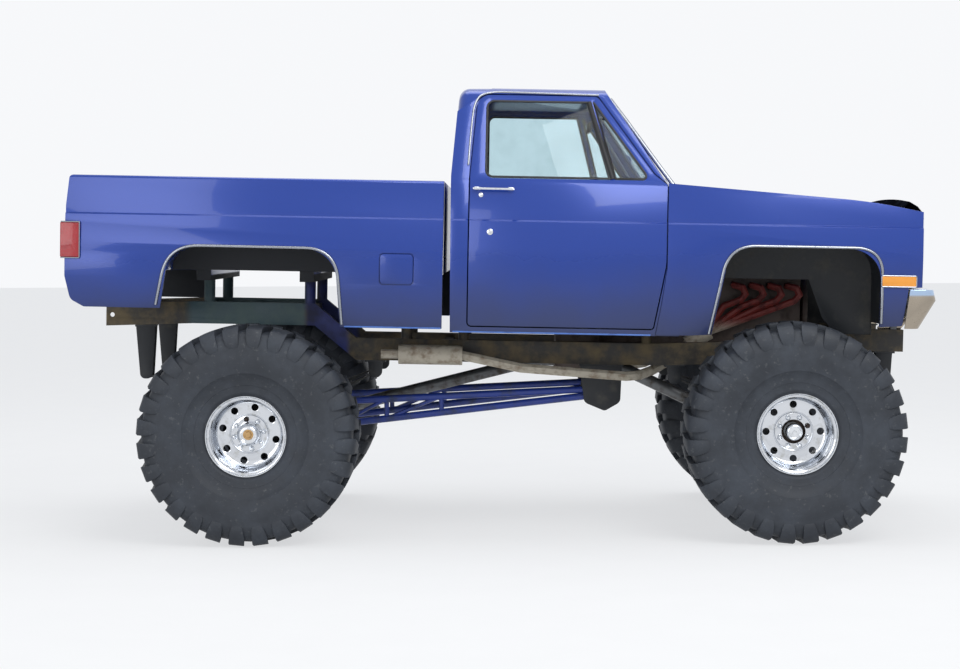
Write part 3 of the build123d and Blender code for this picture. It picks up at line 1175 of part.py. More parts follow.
def powertrain():
    """Engine, bell housing, gearbox and transfer case as one plain closed mass."""
    engine = block(ENGINE_REAR_X, ENGINE_FRONT_X, -ENGINE_HALF, ENGINE_HALF, ENGINE_LOW_Z, 1500)
    engine += block(ENGINE_REAR_X + 60, ENGINE_FRONT_X - 80, -130, 130, 1480, 1600)
    gearbox = block(540, ENGINE_REAR_X + 20, -140, 140, GEARBOX_LOW_Z, 1135)
    transfer = block(TRANSFER_REAR_X, TRANSFER_FRONT_X, -300, 60, TRANSFER_SHAFT_Z - 60, 1135)
    fan = rod((1745, 0, 1290), (1775, 0, 1290), 190, 16) + rod((1700, 0, 1290), (1760, 0, 1290), 40)
    return engine + gearbox + transfer + fan


def exhaust():
    """On each side four header pipes into a collector, a pipe inside the rail, and a muffler."""
    pieces = []
    for side in (1, -1):
        bank = rod((1190, side * 320, 1150), (1060, side * 320, 1076), 46)
        for x in HEADER_PORTS:
            bank += pipe([(x, side * (ENGINE_HALF + RUNNING_GAP), HEADER_PORT_Z), (x, side * 304,
                HEADER_PORT_Z),
                          (x + 46, side * 328, HEADER_PORT_Z - 12), (x + 62, side * 330,
                              HEADER_PORT_Z - 48),
                          (x + 34, side * 330, HEADER_PORT_Z - 84), (x - 60, side * 330,
                              HEADER_PORT_Z - 120),
                          (1160, side * 318, 1136)], 20, 8)
        bank += pipe([(1070, side * 320, 1081), (930, side * 304, 957), (860, side * 350, 920), (780,
            side * 460, 898),
                      (700, side * 504, 893), (100, side * MUFFLER_Y, 930), (-240, side * MUFFLER_Y,
                          996)], 28, 8)
        bank += rod((-236, side * MUFFLER_Y, 996), (-600, side * MUFFLER_Y, 996), 56)
        bank += rod((-598, side * MUFFLER_Y, 996), (-700, side * MUFFLER_Y, 996), 26, 8)
        pieces.append(bank)
    return pieces


def driveshafts():
    """Front and rear shafts, each from a yoke on the transfer case to the pinion flange."""
    shafts = []
    for case_x, y, pinion_x, way in (
        (TRANSFER_FRONT_X, DIFF_OFFSET_Y, FRONT_AXLE_X - PINION_REACH, 1),
        (TRANSFER_REAR_X, 0, REAR_AXLE_X + PINION_REACH, -1),
    ):
        start = raked_point(case_x + way * (JOINT_LENGTH + 20), y, TRANSFER_SHAFT_Z)
        end = (pinion_x - way * JOINT_LENGTH, y, AXLE_Z + PINION_RISE)
        seat = raked_point(case_x + way * RUNNING_GAP, y, TRANSFER_SHAFT_Z)
        shaft = rod(start, end, 36)
        shaft += rod(seat, (start[0] + way * 12, y, start[2]), 44)
        shaft += rod((end[0] - way * 12, y, end[2]), (pinion_x - way * RUNNING_GAP, y, end[2]), 44)
        shafts.append(shaft)
    return shafts


def shock_absorbers():
    """Four dampers, pinned low to lugs on the axle tubes and high to the rails."""
    shocks = []
    for axle_x, y, way, rail_y in (
        (REAR_AXLE_X, REAR_DAMPER_Y, -1, RAIL_OUTER_Y - RAIL_WEB - RUNNING_GAP),
        (FRONT_AXLE_X, FRONT_DAMPER_Y, 1, RAIL_OUTER_Y + RUNNING_GAP),
    ):
        foot = (axle_x + way * DAMPER_FOOT_X, y, AXLE_Z + DAMPER_FOOT_RISE)
        head_x = axle_x + way * DAMPER_HEAD_X
        head = (head_x, y, raked_point(head_x, 0, rail_top_at(head_x) - RAIL_HEIGHT / 2)[2])
        joints = [tuple(a + (b - a) * share for a, b in zip(foot, head)) for share in (0.1, 0.6)]
        shock = rod(foot, head, 12) + rod(joints[0], joints[1], 27)
        shock += rod((foot[0], y - DAMPER_EYE_HALF, foot[2]), (foot[0], y + DAMPER_EYE_HALF, foot[2]), 20)
        shock += rod((head[0], y + (20 if rail_y < y else -20), head[2]), (head[0], rail_y, head[2]), 15)
        shocks += [shock, flipped(shock)]
    return shocks


hood_panel = hood()
left_fender = fender()

place_wheels()
keep("front_axle", front_axle())
keep("rear_axle", rear_axle())
keep("knuckle_left", knuckle())
keep("knuckle_right", flipped(knuckle()))
keep("tie_rod", tie_rod())
keep("leaf_springs", *leaf_springs())
keep("frame_rail_left", raked(rail_with_mounts()))
keep("frame_rail_right", raked(flipped(rail_with_mounts())))
keep("crossmembers", *[raked(bar) for bar in crossmembers()])
keep("ladder_bars", *ladder_bars())
keep("lift_brackets", *lift_brackets())
keep("fender_left", raked(left_fender), raked(inner_fender()))
keep("fender_right", raked(flipped(left_fender)), raked(flipped(inner_fender())))
keep("hood", raked(hood_panel))
keep("bug_deflector", raked(bug_deflector()))
keep("grille", raked(grille()))
keep("radiator", raked(radiator()))
keep("front_lamps", *[raked(lamp) for lamp in front_lamps()])
keep("front_bumper", raked(bumper()))

keep("cab_shell", raked(cab_shell()))
keep("cab_glass", *[raked(pane) for pane in cab_glass()])
keep("door_left", raked(door() + door_mirror()))
keep("door_right", raked(flipped(door())))
keep("door_glass_left", *[raked(pane) for pane in door_glass()])
keep("door_glass_right", *[raked(flipped(pane)) for pane in door_glass()])
keep("bench_seat", raked(bench_seat()))
keep("dashboard", raked(dashboard()))
keep("bed_side_left", raked(bed_side()))
keep("bed_side_right", raked(right_bed_side()))
keep("bed_floor", raked(bed_floor()))
keep("tailgate", raked(tailgate()))
keep("tail_lamps", raked(tail_lamp()), raked(flipped(tail_lamp())))
keep("fuel_door", raked(fuel_door()))
keep("powertrain", raked(powertrain()))
keep("exhaust", *[raked(bank) for bank in exhaust()])
keep("driveshafts", *driveshafts())
keep("shock_absorbers", *shock_absorbers())

for name, shape in nodes.items():
    export_step(shape, f"parts/{name}.step")
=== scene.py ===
"""A lifted pickup truck on very large mud tyres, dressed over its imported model.

The sections follow the truck as it is put together: frame, axles, springs, engine and exhaust,
tyres, rims, painted panels, mouldings, glass, door furniture, lamps, front, seat and cabin, and
then floor, lights and camera. The body is drawn level and then tipped nose-down by RAKE.
"""
import math

import bpy
from mathutils import Matrix, Vector
from mathutils.bvhtree import BVHTree


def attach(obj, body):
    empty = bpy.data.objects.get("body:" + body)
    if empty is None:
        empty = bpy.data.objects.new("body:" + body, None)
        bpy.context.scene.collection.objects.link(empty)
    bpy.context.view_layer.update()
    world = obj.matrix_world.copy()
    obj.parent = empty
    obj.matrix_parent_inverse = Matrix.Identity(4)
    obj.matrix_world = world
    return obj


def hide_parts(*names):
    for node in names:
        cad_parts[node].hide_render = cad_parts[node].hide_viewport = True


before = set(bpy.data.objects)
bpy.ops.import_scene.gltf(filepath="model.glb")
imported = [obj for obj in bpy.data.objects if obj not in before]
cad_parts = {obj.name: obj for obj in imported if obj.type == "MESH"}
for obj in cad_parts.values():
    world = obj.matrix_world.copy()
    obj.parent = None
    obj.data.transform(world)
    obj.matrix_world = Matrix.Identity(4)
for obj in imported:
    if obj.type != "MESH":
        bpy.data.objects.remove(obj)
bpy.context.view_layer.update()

# Frame rails and crossmembers: two pressed steel channels joined by riveted bars, with the lift's
# brackets bolted below. Bars and brackets are chassis black under dust; the rails are brown with
# mud, and were painted over in grey-green above the rear axle and in blue ahead of it.
SIDES = {"left": 1, "right": -1}
WELD_GAP = 0.00002
FLAT_WITHIN = math.radians(0.8)


class Value:
    """One socket of a finish, on which sums are written as plain expressions."""

    def __init__(self, finish, socket):
        self.finish = finish
        self.socket = socket

    def maths(self, operation, first, second):
        return self.finish.node("ShaderNodeMath", {"operation": operation}, {0: first, 1: second})

    def __add__(self, other):
        return self.maths("ADD", self, other)

    def __sub__(self, other):
        return self.maths("SUBTRACT", self, other)

    def __mul__(self, other):
        return self.maths("MULTIPLY", self, other)

    def __radd__(self, other):
        return self.maths("ADD", other, self)

    def __rsub__(self, other):
        return self.maths("SUBTRACT", other, self)

    def __rmul__(self, other):
        return self.maths("MULTIPLY", other, self)


class Finish:
    """A paint, metal, rubber or cloth: a shader and the nodes that vary it."""

    def __init__(self, name, **constants):
        self.material = bpy.data.materials.new(name)
        self.material.use_nodes = True
        self.tree = self.material.node_tree
        self.shader = self.tree.nodes["Principled BSDF"]
        for key, value in constants.items():
            self.shader.inputs[key.replace("_", " ")].default_value = value
        self.place = self.node("ShaderNodeTexCoord", out="Object")

    def node(self, kind, settings=None, inputs=None, out=0):
        made = self.tree.nodes.new(kind)
        for key, value in (settings or {}).items():
            setattr(made, key, value)
        for key, value in (inputs or {}).items():
            if isinstance(value, Value):
                self.tree.links.new(value.socket, made.inputs[key])
            else:
                made.inputs[key].default_value = value
        return Value(self, made.outputs[out])

    def feed(self, key, value):
        self.tree.links.new(value.socket, self.shader.inputs[key])

    def noise(self, scale, detail=4, rough=0.55, stretch=None):
        place = self.place
        if stretch:
            place = self.node("ShaderNodeMapping", None, {"Vector": place, "Scale": stretch})
        return self.node(
            "ShaderNodeTexNoise", None,
            {"Vector": place, "Scale": scale, "Detail": detail, "Roughness": rough}, "Fac",
        )

    def band(self, value, low, high):
        """0 below low, 1 above high, and a smooth step between them."""
        return self.node(
            "ShaderNodeMapRange", {"interpolation_type": "SMOOTHSTEP"},
            {0: value, 1: low, 2: high},
        )

    def colours(self, mask, dark, light):
        dark = dark if isinstance(dark, Value) else (*dark, 1)
        light = light if isinstance(light, Value) else (*light, 1)
        return self.node("ShaderNodeMix", {"data_type": "RGBA"}, {0: mask, 6: dark, 7: light}, 2)

    def along(self, axis):
        """Where a point lies along an axis, in metres."""
        return self.node("ShaderNodeSeparateXYZ", None, {0: self.place}, axis)

    def facing(self, axis):
        """How far a face looks along an axis, from -1 to 1."""
        normal = self.node("ShaderNodeNewGeometry", out="Normal")
        return self.node("ShaderNodeSeparateXYZ", None, {0: normal}, axis)

    def bump(self, value, distance, strength):
        inputs = {"Height": value, "Distance": distance, "Strength": strength}
        self.feed("Normal", self.node("ShaderNodeBump", None, inputs))


def tint(red, green, blue):
    """A colour written as it looks on a screen, 0 to 255, taken off the screen's curve."""
    levels = (red / 255, green / 255, blue / 255)
    return tuple(((c + 0.055) / 1.055) ** 2.4 if c > 0.04045 else c / 12.92 for c in levels)


def alone(*pieces):
    """Selects these pieces only, with the last one active."""
    bpy.ops.object.select_all(action="DESELECT")
    for piece in pieces:
        piece.select_set(True)
    bpy.context.view_layer.objects.active = pieces[-1]


def fitted(piece, kind, **settings):
    """Adds a modifier to a piece and applies it."""
    alone(piece)
    modifier = piece.modifiers.new(kind.lower(), kind)
    for key, value in settings.items():
        setattr(modifier, key, value)
    bpy.ops.object.modifier_apply(modifier=modifier.name)
    return piece


def eased(piece, width, segments=2, sharp=math.radians(30)):
    """Rounds the edges of a piece that turn by more than an angle in radians."""
    return fitted(
        piece, "BEVEL", width=width, segments=segments, limit_method="ANGLE", angle_limit=sharp,
    )


def smoothed(piece, degrees=35):
    alone(piece)
    bpy.ops.object.shade_smooth_by_angle(angle=math.radians(degrees))
    return piece


def finished(piece, name, body, slot, finish, replaced=()):
    """Names a piece, gives it its finish, and lets it ride on its body."""
    piece.name = name
    piece.data.materials.clear()
    piece.data.materials.append(finish.material)
    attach(piece, body)
    for node in replaced:
        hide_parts(node)


def copied(node):
    """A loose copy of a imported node's mesh, its triangles merged into whole faces."""
    alone(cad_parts[node])
    bpy.ops.object.duplicate()
    piece = bpy.context.object
    piece.parent = None
    piece.matrix_world = Matrix.Identity(4)
    for key in list(piece.keys()):
        del piece[key]
    bpy.ops.object.mode_set(mode="EDIT")
    bpy.ops.mesh.select_all(action="SELECT")
    bpy.ops.mesh.remove_doubles(threshold=WELD_GAP)
    bpy.ops.mesh.customdata_custom_splitnormals_clear()
    bpy.ops.mesh.dissolve_limited(angle_limit=FLAT_WITHIN)
    bpy.ops.object.mode_set(mode="OBJECT")
    return piece


def dressed(node, body, slot, finish, edge=0.002):
    """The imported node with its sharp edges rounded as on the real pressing."""
    piece = copied(node)
    if edge:
        eased(piece, edge)
    finished(smoothed(piece), "dressed_" + node, body, slot, finish, [node])


def chassis_paint():
    """Black chassis paint, greyed by dust that lies thickest on what faces up."""
    finish = Finish("chassis_paint", IOR=1.45)
    dust = finish.band(finish.noise(9, 6) + finish.facing("Z") * 0.25, 0.45, 0.85)
    finish.feed("Base Color", finish.colours(dust, tint(30, 33, 38), tint(86, 84, 78)))
    finish.feed("Roughness", 0.45 + dust * 0.35)
    finish.bump(finish.noise(160, 3), 0.0006, 0.4)
    return finish


def rail_paint():
    """The rails' paint: brown with dried mud, grey-green over the rear axle and blue ahead of it."""
    finish = Finish("rail_paint", IOR=1.45)
    mud = finish.band(finish.noise(7, 7, 0.6), 0.38, 0.68)
    along = finish.along("X")
    past_axle = finish.band(along, -1.16, -1.12)
    over_axle = finish.band(along, -1.85, -1.78) * (1 - past_axle)
    ahead = past_axle * (1 - finish.band(along, -0.92, -0.88))
    brown = finish.colours(mud, tint(44, 42, 40), tint(104, 92, 70))
    green = finish.colours(mud, tint(58, 78, 84), tint(82, 98, 98))
    blue = finish.colours(mud, tint(34, 44, 104), tint(44, 46, 70))
    finish.feed("Base Color", finish.colours(ahead, finish.colours(over_axle, brown, green), blue))
    finish.feed("Roughness", 0.5 + mud * 0.35)
    finish.bump(finish.noise(130, 3), 0.0008, 0.4)
    return finish


chassis_black = chassis_paint()
for node in ("crossmembers", "lift_brackets"):
    dressed(node, "truck", "chassis_black", chassis_black)
rails = rail_paint()
for side in SIDES:
    dressed(f"frame_rail_{side}", "truck", "chassis_black", rails)

# Axles, springs and steering: cast and welded steel, the springs in flat leaves, the long
# ladder bars welded from blue tube, the dampers white, all greased and dusty.
FORGED_EDGE = 0.0015


def painted(name, colour, worn, rough=0.4, scale=14, metal=0.0):
    """Paint or bare metal with blotches of a second colour where it has worn or soiled."""
    finish = Finish(name, Metallic=metal)
    blotch = finish.band(finish.noise(scale, 6), 0.42, 0.75)
    finish.feed("Base Color", finish.colours(blotch, colour, worn))
    finish.feed("Roughness", rough + blotch * 0.25)
    finish.bump(finish.noise(scale * 14, 2), 0.0005, 0.35)
    return finish


bare_steel = painted("bare_steel", tint(110, 112, 114), tint(74, 66, 58), 0.42, 18, 0.6)
ladder_blue = painted("ladder_blue", tint(38, 62, 148), tint(54, 64, 96), 0.35)
damper_white = painted("damper_white", tint(196, 198, 200), tint(120, 118, 112), 0.4)
engine_iron = painted("engine_iron", tint(96, 84, 78), tint(58, 48, 44), 0.6)
for node in ("front_axle", "rear_axle", "leaf_springs"):
    dressed(node, "truck", "chassis_black", chassis_black, FORGED_EDGE)
for side in SIDES:
    dressed(f"knuckle_{side}", f"steer_{side}", "bare_steel", bare_steel, FORGED_EDGE)
dressed("tie_rod", "tie_rod", "bare_steel", bare_steel, 0)
dressed("ladder_bars", "truck", "ladder_blue", ladder_blue, 0)
dressed("shock_absorbers", "truck", "damper_white", damper_white, 0)
dressed("driveshafts", "truck", "bare_steel", bare_steel, 0)

# Spring fastenings: two square-topped U-bolts of round steel bar straddle each spring beside its
# axle and clamp the two together, with a square nut on each leg.
AXLES = {"rear": -1.405, "front": 1.580}
SPRING_Y = 0.385
CLAMP_FOOT, CLAMP_TOP = 0.545, 0.748
CLAMP_REACH, CLAMP_HALF = 0.058, 0.041
BOLT_RADIUS, NUT_HALF = 0.0075, 0.013


def slab(low, high, edge):
    """A block with its edges rounded, given by two opposite corners."""
    middle = [(a + b) / 2 for a, b in zip(low, high)]
    bpy.ops.mesh.primitive_cube_add(size=1, location=middle)
    piece = bpy.context.object
    piece.scale = [abs(b - a) for a, b in zip(low, high)]
    bpy.ops.object.transform_apply()
    return eased(piece, edge, 3)


def rounded(corners, radius, closed=False, steps=7):
    """A line through the corners, each cut to a curve."""
    line = []
    for i, corner in enumerate(corners):
        here = Vector(corner)
        if not closed and i in (0, len(corners) - 1):
            line.append(here)
            continue
        before, after = Vector(corners[i - 1]), Vector(corners[(i + 1) % len(corners)])
        start = here + (before - here).normalized() * min(radius, (before - here).length / 2)
        end = here + (after - here).normalized() * min(radius, (after - here).length / 2)
        for step in range(steps + 1):
            share = step / steps
            line.append(start.lerp(here, share).lerp(here.lerp(end, share), share))
    return line


def tube(line, radius, closed=False):
    """A round bar bent along a line, made as a curve and turned to mesh."""
    curve = bpy.data.curves.new("tube", "CURVE")
    curve.dimensions = "3D"
    spline = curve.splines.new("POLY")
    spline.points.add(len(line) - 1)
    for point, place in zip(spline.points, line):
        point.co = (*place, 1)
    spline.use_cyclic_u = closed
    curve.bevel_depth = radius
    curve.bevel_resolution = 2
    curve.use_fill_caps = not closed
    piece = bpy.data.objects.new("tube", curve)
    bpy.context.collection.objects.link(piece)
    alone(piece)
    bpy.ops.object.convert(target="MESH")
    return smoothed(bpy.context.object, 50)


def joined(*pieces):
    """One piece made of several, which keeps the last one's place in the scene."""
    alone(*pieces)
    bpy.ops.object.join()
    return bpy.context.object


clamps = []
for axle_x in AXLES.values():
    for way in SIDES.values():
        near, far = way * SPRING_Y - CLAMP_HALF, way * SPRING_Y + CLAMP_HALF
        for x in (axle_x - CLAMP_REACH, axle_x + CLAMP_REACH):
            bends = ((x, near, CLAMP_FOOT), (x, near, CLAMP_TOP), (x, far, CLAMP_TOP), (x, far, CLAMP_FOOT))
            clamps.append(tube(rounded(bends, 0.012, steps=4), BOLT_RADIUS))
            for y in (near, far):
                low = (x - NUT_HALF, y - NUT_HALF, CLAMP_FOOT + 0.004)
                high = (x + NUT_HALF, y + NUT_HALF, CLAMP_FOOT + 0.022)
                clamps.append(slab(low, high, 0.003))
finished(joined(*clamps), "spring_clamps", "truck", "bare_steel", bare_steel)

# Engine, gearbox and exhaust: one cast-iron block, and headers and pipes of steel tube that
# heat has turned red and then brown, with a long tan muffler below the cab on the right side.


def heated_steel():
    """Aluminised tube gone tan, and red-brown where the headers leave the engine."""
    finish = Finish("heated_steel")
    blotch = finish.band(finish.noise(22, 6), 0.42, 0.75)
    hot = finish.band(finish.along("X"), 1.0, 1.2) * finish.band(finish.along("Z"), 1.1, 1.2)
    tan = finish.colours(blotch, tint(186, 178, 162), tint(134, 118, 100))
    red = finish.colours(blotch, tint(128, 44, 38), tint(84, 34, 32))
    finish.feed("Base Color", finish.colours(hot, tan, red))
    finish.feed("Roughness", 0.55 + blotch * 0.25)
    finish.bump(finish.noise(300, 2), 0.0005, 0.35)
    return finish


dressed("powertrain", "truck", "engine_iron", engine_iron, 0.006)
dressed("exhaust", "truck", "exhaust_steel", heated_steel(), 0)

# Tyres: tall mud tyres of black rubber with plain bulging sidewalls, moulded in one piece with
# two staggered rows of broad lugs that slant out from the centre and wrap over the shoulders.
LUGS = 28
ROUND_STEPS = 96
TREAD_RADIUS = 0.58
CARCASS = (
    (0.2107, 0.2245), (0.2140, 0.2320), (0.2205, 0.2375), (0.2220, 0.2460), (0.2235, 0.2620),
    (0.2290, 0.2800), (0.2315, 0.2815), (0.2360, 0.3000), (0.2520, 0.3450), (0.2545, 0.3465),
    (0.2620, 0.3850), (0.2665, 0.4200), (0.2655, 0.4550), (0.2625, 0.4800), (0.2630, 0.4830),
    (0.2580, 0.5050), (0.2500, 0.5300), (0.2350, 0.5560), (0.2100, 0.5680), (0.1200, 0.5720),
    (0.0000, 0.5730),
)
LUG_STATIONS = (
    # middle y, middle radius, forward lean, tilt in degrees, width, height
    (-0.012, 0.5835, -0.030, 0, 0.052, 0.037),
    (0.060, 0.5832, -0.018, 0, 0.056, 0.037),
    (0.140, 0.5822, -0.004, 2, 0.066, 0.037),
    (0.200, 0.5790, 0.004, 8, 0.082, 0.039),
    (0.2290, 0.5700, 0.006, 28, 0.086, 0.036),
    (0.2500, 0.5430, 0.006, 58, 0.086, 0.026),
    (0.2590, 0.5080, 0.004, 76, 0.078, 0.012),
    (0.2615, 0.4840, 0.002, 84, 0.060, 0.004),
)


def traced(line):
    """Opens a new piece for editing: a chain of edges through the points of a line."""
    bpy.ops.mesh.primitive_plane_add(size=0.01)
    bpy.ops.object.mode_set(mode="EDIT")
    bpy.ops.mesh.select_mode(type="VERT")
    bpy.ops.mesh.merge(type="CENTER")
    bpy.ops.transform.translate(value=line[0])
    for here, there in zip(line, line[1:]):
        step = tuple(b - a for a, b in zip(here, there))
        bpy.ops.mesh.extrude_region_move(TRANSFORM_OT_translate={"value": step})
    bpy.ops.mesh.select_all(action="SELECT")


def shut():
    """Turns the faces of the piece that is being edited outwards and ends the editing."""
    bpy.ops.mesh.select_all(action="SELECT")
    bpy.ops.mesh.normals_make_consistent(inside=False)
    bpy.ops.object.mode_set(mode="OBJECT")
    return bpy.context.object


def spun(section, steps):
    """Spins a section of (y, radius) points round the Y axis and closes its seam and poles."""
    traced([(0, y, radius) for y, radius in section])
    bpy.ops.mesh.spin(steps=steps, angle=math.tau, center=(0, 0, 0), axis=(0, 1, 0))
    bpy.ops.mesh.select_all(action="SELECT")
    bpy.ops.mesh.remove_doubles(threshold=WELD_GAP / 2)
    return shut()


def placed(piece, place):
    """Puts a turn or a move into a piece's mesh, and keeps its faces outwards."""
    piece.data.transform(place)
    if place.determinant() < 0:
        piece.data.flip_normals()
    return piece


def twin(piece, place):
    """A second copy of a piece, with a mesh of its own, put at a place."""
    alone(piece)
    bpy.ops.object.duplicate()
    return placed(bpy.context.object, place)


def repeated(model, places):
    """One piece made of copies of a model, and the model itself removed."""
    piece = joined(*[twin(model, place) for place in places])
    bpy.data.objects.remove(model)
    return piece


def lug():
    """One lug, extruded from the tread's middle over the shoulder and down the sidewall."""
    y, radius, lean, _, width, height = LUG_STATIONS[0]
    bpy.ops.mesh.primitive_plane_add(size=1, location=(0, 0, 0), rotation=(math.radians(90), 0, 0))
    bpy.ops.object.transform_apply()
    bpy.ops.object.mode_set(mode="EDIT")
    bpy.ops.transform.resize(value=(width, 1, height))
    bpy.ops.transform.translate(value=(lean, y, radius))
    for (y, radius, lean, tilt, width, height), there in zip(LUG_STATIONS, LUG_STATIONS[1:]):
        next_y, next_radius, next_lean, next_tilt, next_width, next_height = there
        step = (next_lean - lean, next_y - y, next_radius - radius)
        bpy.ops.mesh.extrude_region_move(TRANSFORM_OT_translate={"value": step})
        middle = (next_lean, next_y, next_radius)
        turn = math.radians(next_tilt - tilt)
        bpy.ops.transform.rotate(value=turn, orient_axis="X", center_override=middle)
        thinner = next_height / height
        bpy.ops.transform.resize(value=(next_width / width, thinner, thinner), center_override=middle)
    return shut()


def rolled(piece):
    """Rolls a piece drawn flat above the tread's middle round the tyre's axis."""
    for corner in piece.data.vertices:
        turn = corner.co.x / TREAD_RADIUS
        corner.co.x = corner.co.z * math.sin(turn)
        corner.co.z *= math.cos(turn)
    return piece


def tyre_rubber():
    """Black rubber that dust and age have greyed in clouds, with paler scuffs."""
    finish = Finish("tyre_rubber", IOR=1.5)
    dust = finish.band(finish.noise(4, 8, 0.68), 0.36, 0.76)
    scuffs = finish.band(finish.noise(38, 4, 0.7), 0.58, 0.72)
    greyed = finish.colours(dust, tint(33, 38, 46), tint(62, 67, 75))
    finish.feed("Base Color", finish.colours(scuffs * 0.5, greyed, tint(90, 92, 94)))
    finish.feed("Roughness", 0.58 + dust * 0.28)
    finish.bump(finish.noise(260, 3) * 0.4 + finish.noise(30, 3), 0.0012, 0.4)
    return finish


other_half = [(-y, radius) for y, radius in reversed(CARCASS[:-1])]
bead = ((-0.2107, 0.209), (0.2107, 0.209), CARCASS[0])
carcass = spun((*CARCASS, *other_half, *bead), ROUND_STEPS)
one_lug = rolled(eased(lug(), 0.007, sharp=0.7))
pitch = math.tau / LUGS
outer_lugs = repeated(one_lug, [Matrix.Rotation(i * pitch, 4, "Y") for i in range(LUGS)])
inner_lugs = twin(outer_lugs, Matrix.Rotation(pitch / 2, 4, "Y") @ Matrix.Scale(-1, 4, (0, 1, 0)))
whole_tyre = smoothed(joined(outer_lugs, inner_lugs, carcass), 40)
TRACK_HALF = 0.935
HUB_HEIGHT = 0.602


def at_wheel(end, side, spin):
    """From the middle of a left wheel at the origin to its own axle end, turned by spin degrees."""
    place = Matrix.Translation((AXLES[end], SIDES[side] * TRACK_HALF, HUB_HEIGHT))
    turn = Matrix.Rotation(math.radians(-spin), 4, "Y")
    face = Matrix.Rotation(0 if side == "left" else math.pi, 4, "Z")
    return place @ turn @ face


def on_wheels(model, name, slot, finish, spins, replaced=None):
    """A copy of a wheel piece at each wheel that spins names, riding on that wheel."""
    for (end, side), spin in spins.items():
        copy = twin(model, at_wheel(end, side, spin))
        nodes = [f"{replaced}_{end}_{side}"] if replaced else []
        finished(copy, f"{name}_{end}_{side}", f"wheel_{end}_{side}", slot, finish, nodes)
    bpy.data.objects.remove(model)


SPINS = {("front", "right"): -135, ("rear", "right"): -57.4, ("front", "left"): 20, ("rear", "left"): 71}
on_wheels(whole_tyre, "mud_tyre", "tyre_rubber", tyre_rubber(), SPINS, "tyre")

# Rims: cast aluminium, turned and polished, with a deep dish, a rolled lip and eight round holes.
# Each is held by eight nuts, seven chromed and one dark, round a locking hub in front or a domed
# cap with a brass plug behind. The front hub's bore is dark as painted shade in the hole.
DISH = (
    (0.0555, 0.0640), (0.0555, 0.0990), (0.0535, 0.1030), (0.0445, 0.1040), (0.0425, 0.1055),
    (0.0425, 0.1085), (0.0442, 0.1105), (0.0450, 0.1300), (0.0452, 0.1500), (0.0465, 0.1640),
    (0.0500, 0.1740), (0.0570, 0.1820), (0.0680, 0.1880), (0.0850, 0.1915), (0.1300, 0.1940),
    (0.1500, 0.1950), (0.1530, 0.1975), (0.1960, 0.1990), (0.2020, 0.2010), (0.2060, 0.2060),
    (0.2075, 0.2105), (0.2140, 0.2125), (0.2180, 0.2140), (0.2200, 0.2165), (0.2200, 0.2200),
    (0.2180, 0.2222), (0.2130, 0.2225), (0.2110, 0.2205), (0.2108, 0.2087), (-0.2108, 0.2087),
    (-0.2108, 0.2205), (-0.2130, 0.2225), (-0.2200, 0.2215), (-0.2200, 0.2000), (0.0200, 0.1995),
    (0.0310, 0.1900), (0.0320, 0.0640),
)
VENTS, VENT_CIRCLE, VENT_RADIUS = 8, 0.149, 0.020
NUTS, NUT_CIRCLE = 8, 0.08255


def polished():
    """Polished aluminium: bright, with faint turning marks and patches of dusty film."""
    finish = Finish("polished_rim", Metallic=1.0)
    film = finish.band(finish.noise(24, 5), 0.5, 0.8)
    finish.feed("Base Color", finish.colours(film, tint(214, 217, 222), tint(176, 176, 172)))
    finish.feed("Roughness", 0.1 + film * 0.2)
    finish.bump(finish.noise(90, 2, 0.5, (1, 6, 1)), 0.0002, 0.25)
    return finish


def cast_bright(name, colour, rough=0.08):
    """Chrome or a cast metal that has dulled in patches."""
    finish = Finish(name, Metallic=1.0)
    dulled = finish.band(finish.noise(60, 4), 0.52, 0.75)
    finish.feed("Base Color", finish.colours(dulled, colour, tuple(0.7 * part for part in colour)))
    finish.feed("Roughness", rough + dulled * 0.22)
    finish.bump(finish.noise(220, 2), 0.0002, 0.2)
    return finish


bright_rim = polished()
chrome = cast_bright("chrome", tint(226, 229, 233))
brass = cast_bright("brass", tint(196, 160, 112), 0.25)
# Dark steel for the one dark nut, and painted shade lining the front hub's bore
dark_steel_and_bore_shade = cast_bright("dark_steel_and_bore_shade", tint(70, 62, 58), 0.45)
dish = spun((*DISH, DISH[0]), ROUND_STEPS)
bpy.ops.mesh.primitive_cylinder_add(
    vertices=28, radius=VENT_RADIUS, depth=0.08, location=(0, 0.04, VENT_CIRCLE),
    rotation=(math.pi / 2, 0, 0),
)
bpy.ops.object.transform_apply()
vent_turns = [Matrix.Rotation(math.tau * (i + 1) / VENTS, 4, "Y") for i in range(VENTS)]
drill = repeated(bpy.context.object, vent_turns)
fitted(dish, "BOOLEAN", object=drill, operation="DIFFERENCE", solver="EXACT")
bpy.data.objects.remove(drill)
smoothed(eased(dish, 0.0012, sharp=1.2), 32)
on_wheels(dish, "polished_rim", "polished_rim", bright_rim, SPINS, "rim")

NUT_SECTION = ((0.0540, 0.0165), (0.0575, 0.0165), (0.0585, 0.0140), (0.0760, 0.0136), (0.0800, 0.0110),
               (0.0845, 0.0060), (0.0855, 0.0000))
nut = eased(spun(NUT_SECTION, 6), 0.0008, 1, 0.5)
smoothed(placed(nut, Matrix.Translation((0, 0, NUT_CIRCLE))), 25)
turns = [Matrix.Rotation(math.tau * (0.25 - (i + 0.5) / NUTS), 4, "Y") for i in range(NUTS)]
on_wheels(twin(nut, turns[0]), "dark_nut", "bare_steel", dark_steel_and_bore_shade, SPINS)
on_wheels(repeated(nut, turns[1:]), "wheel_nuts", "chrome_steel", chrome, SPINS)

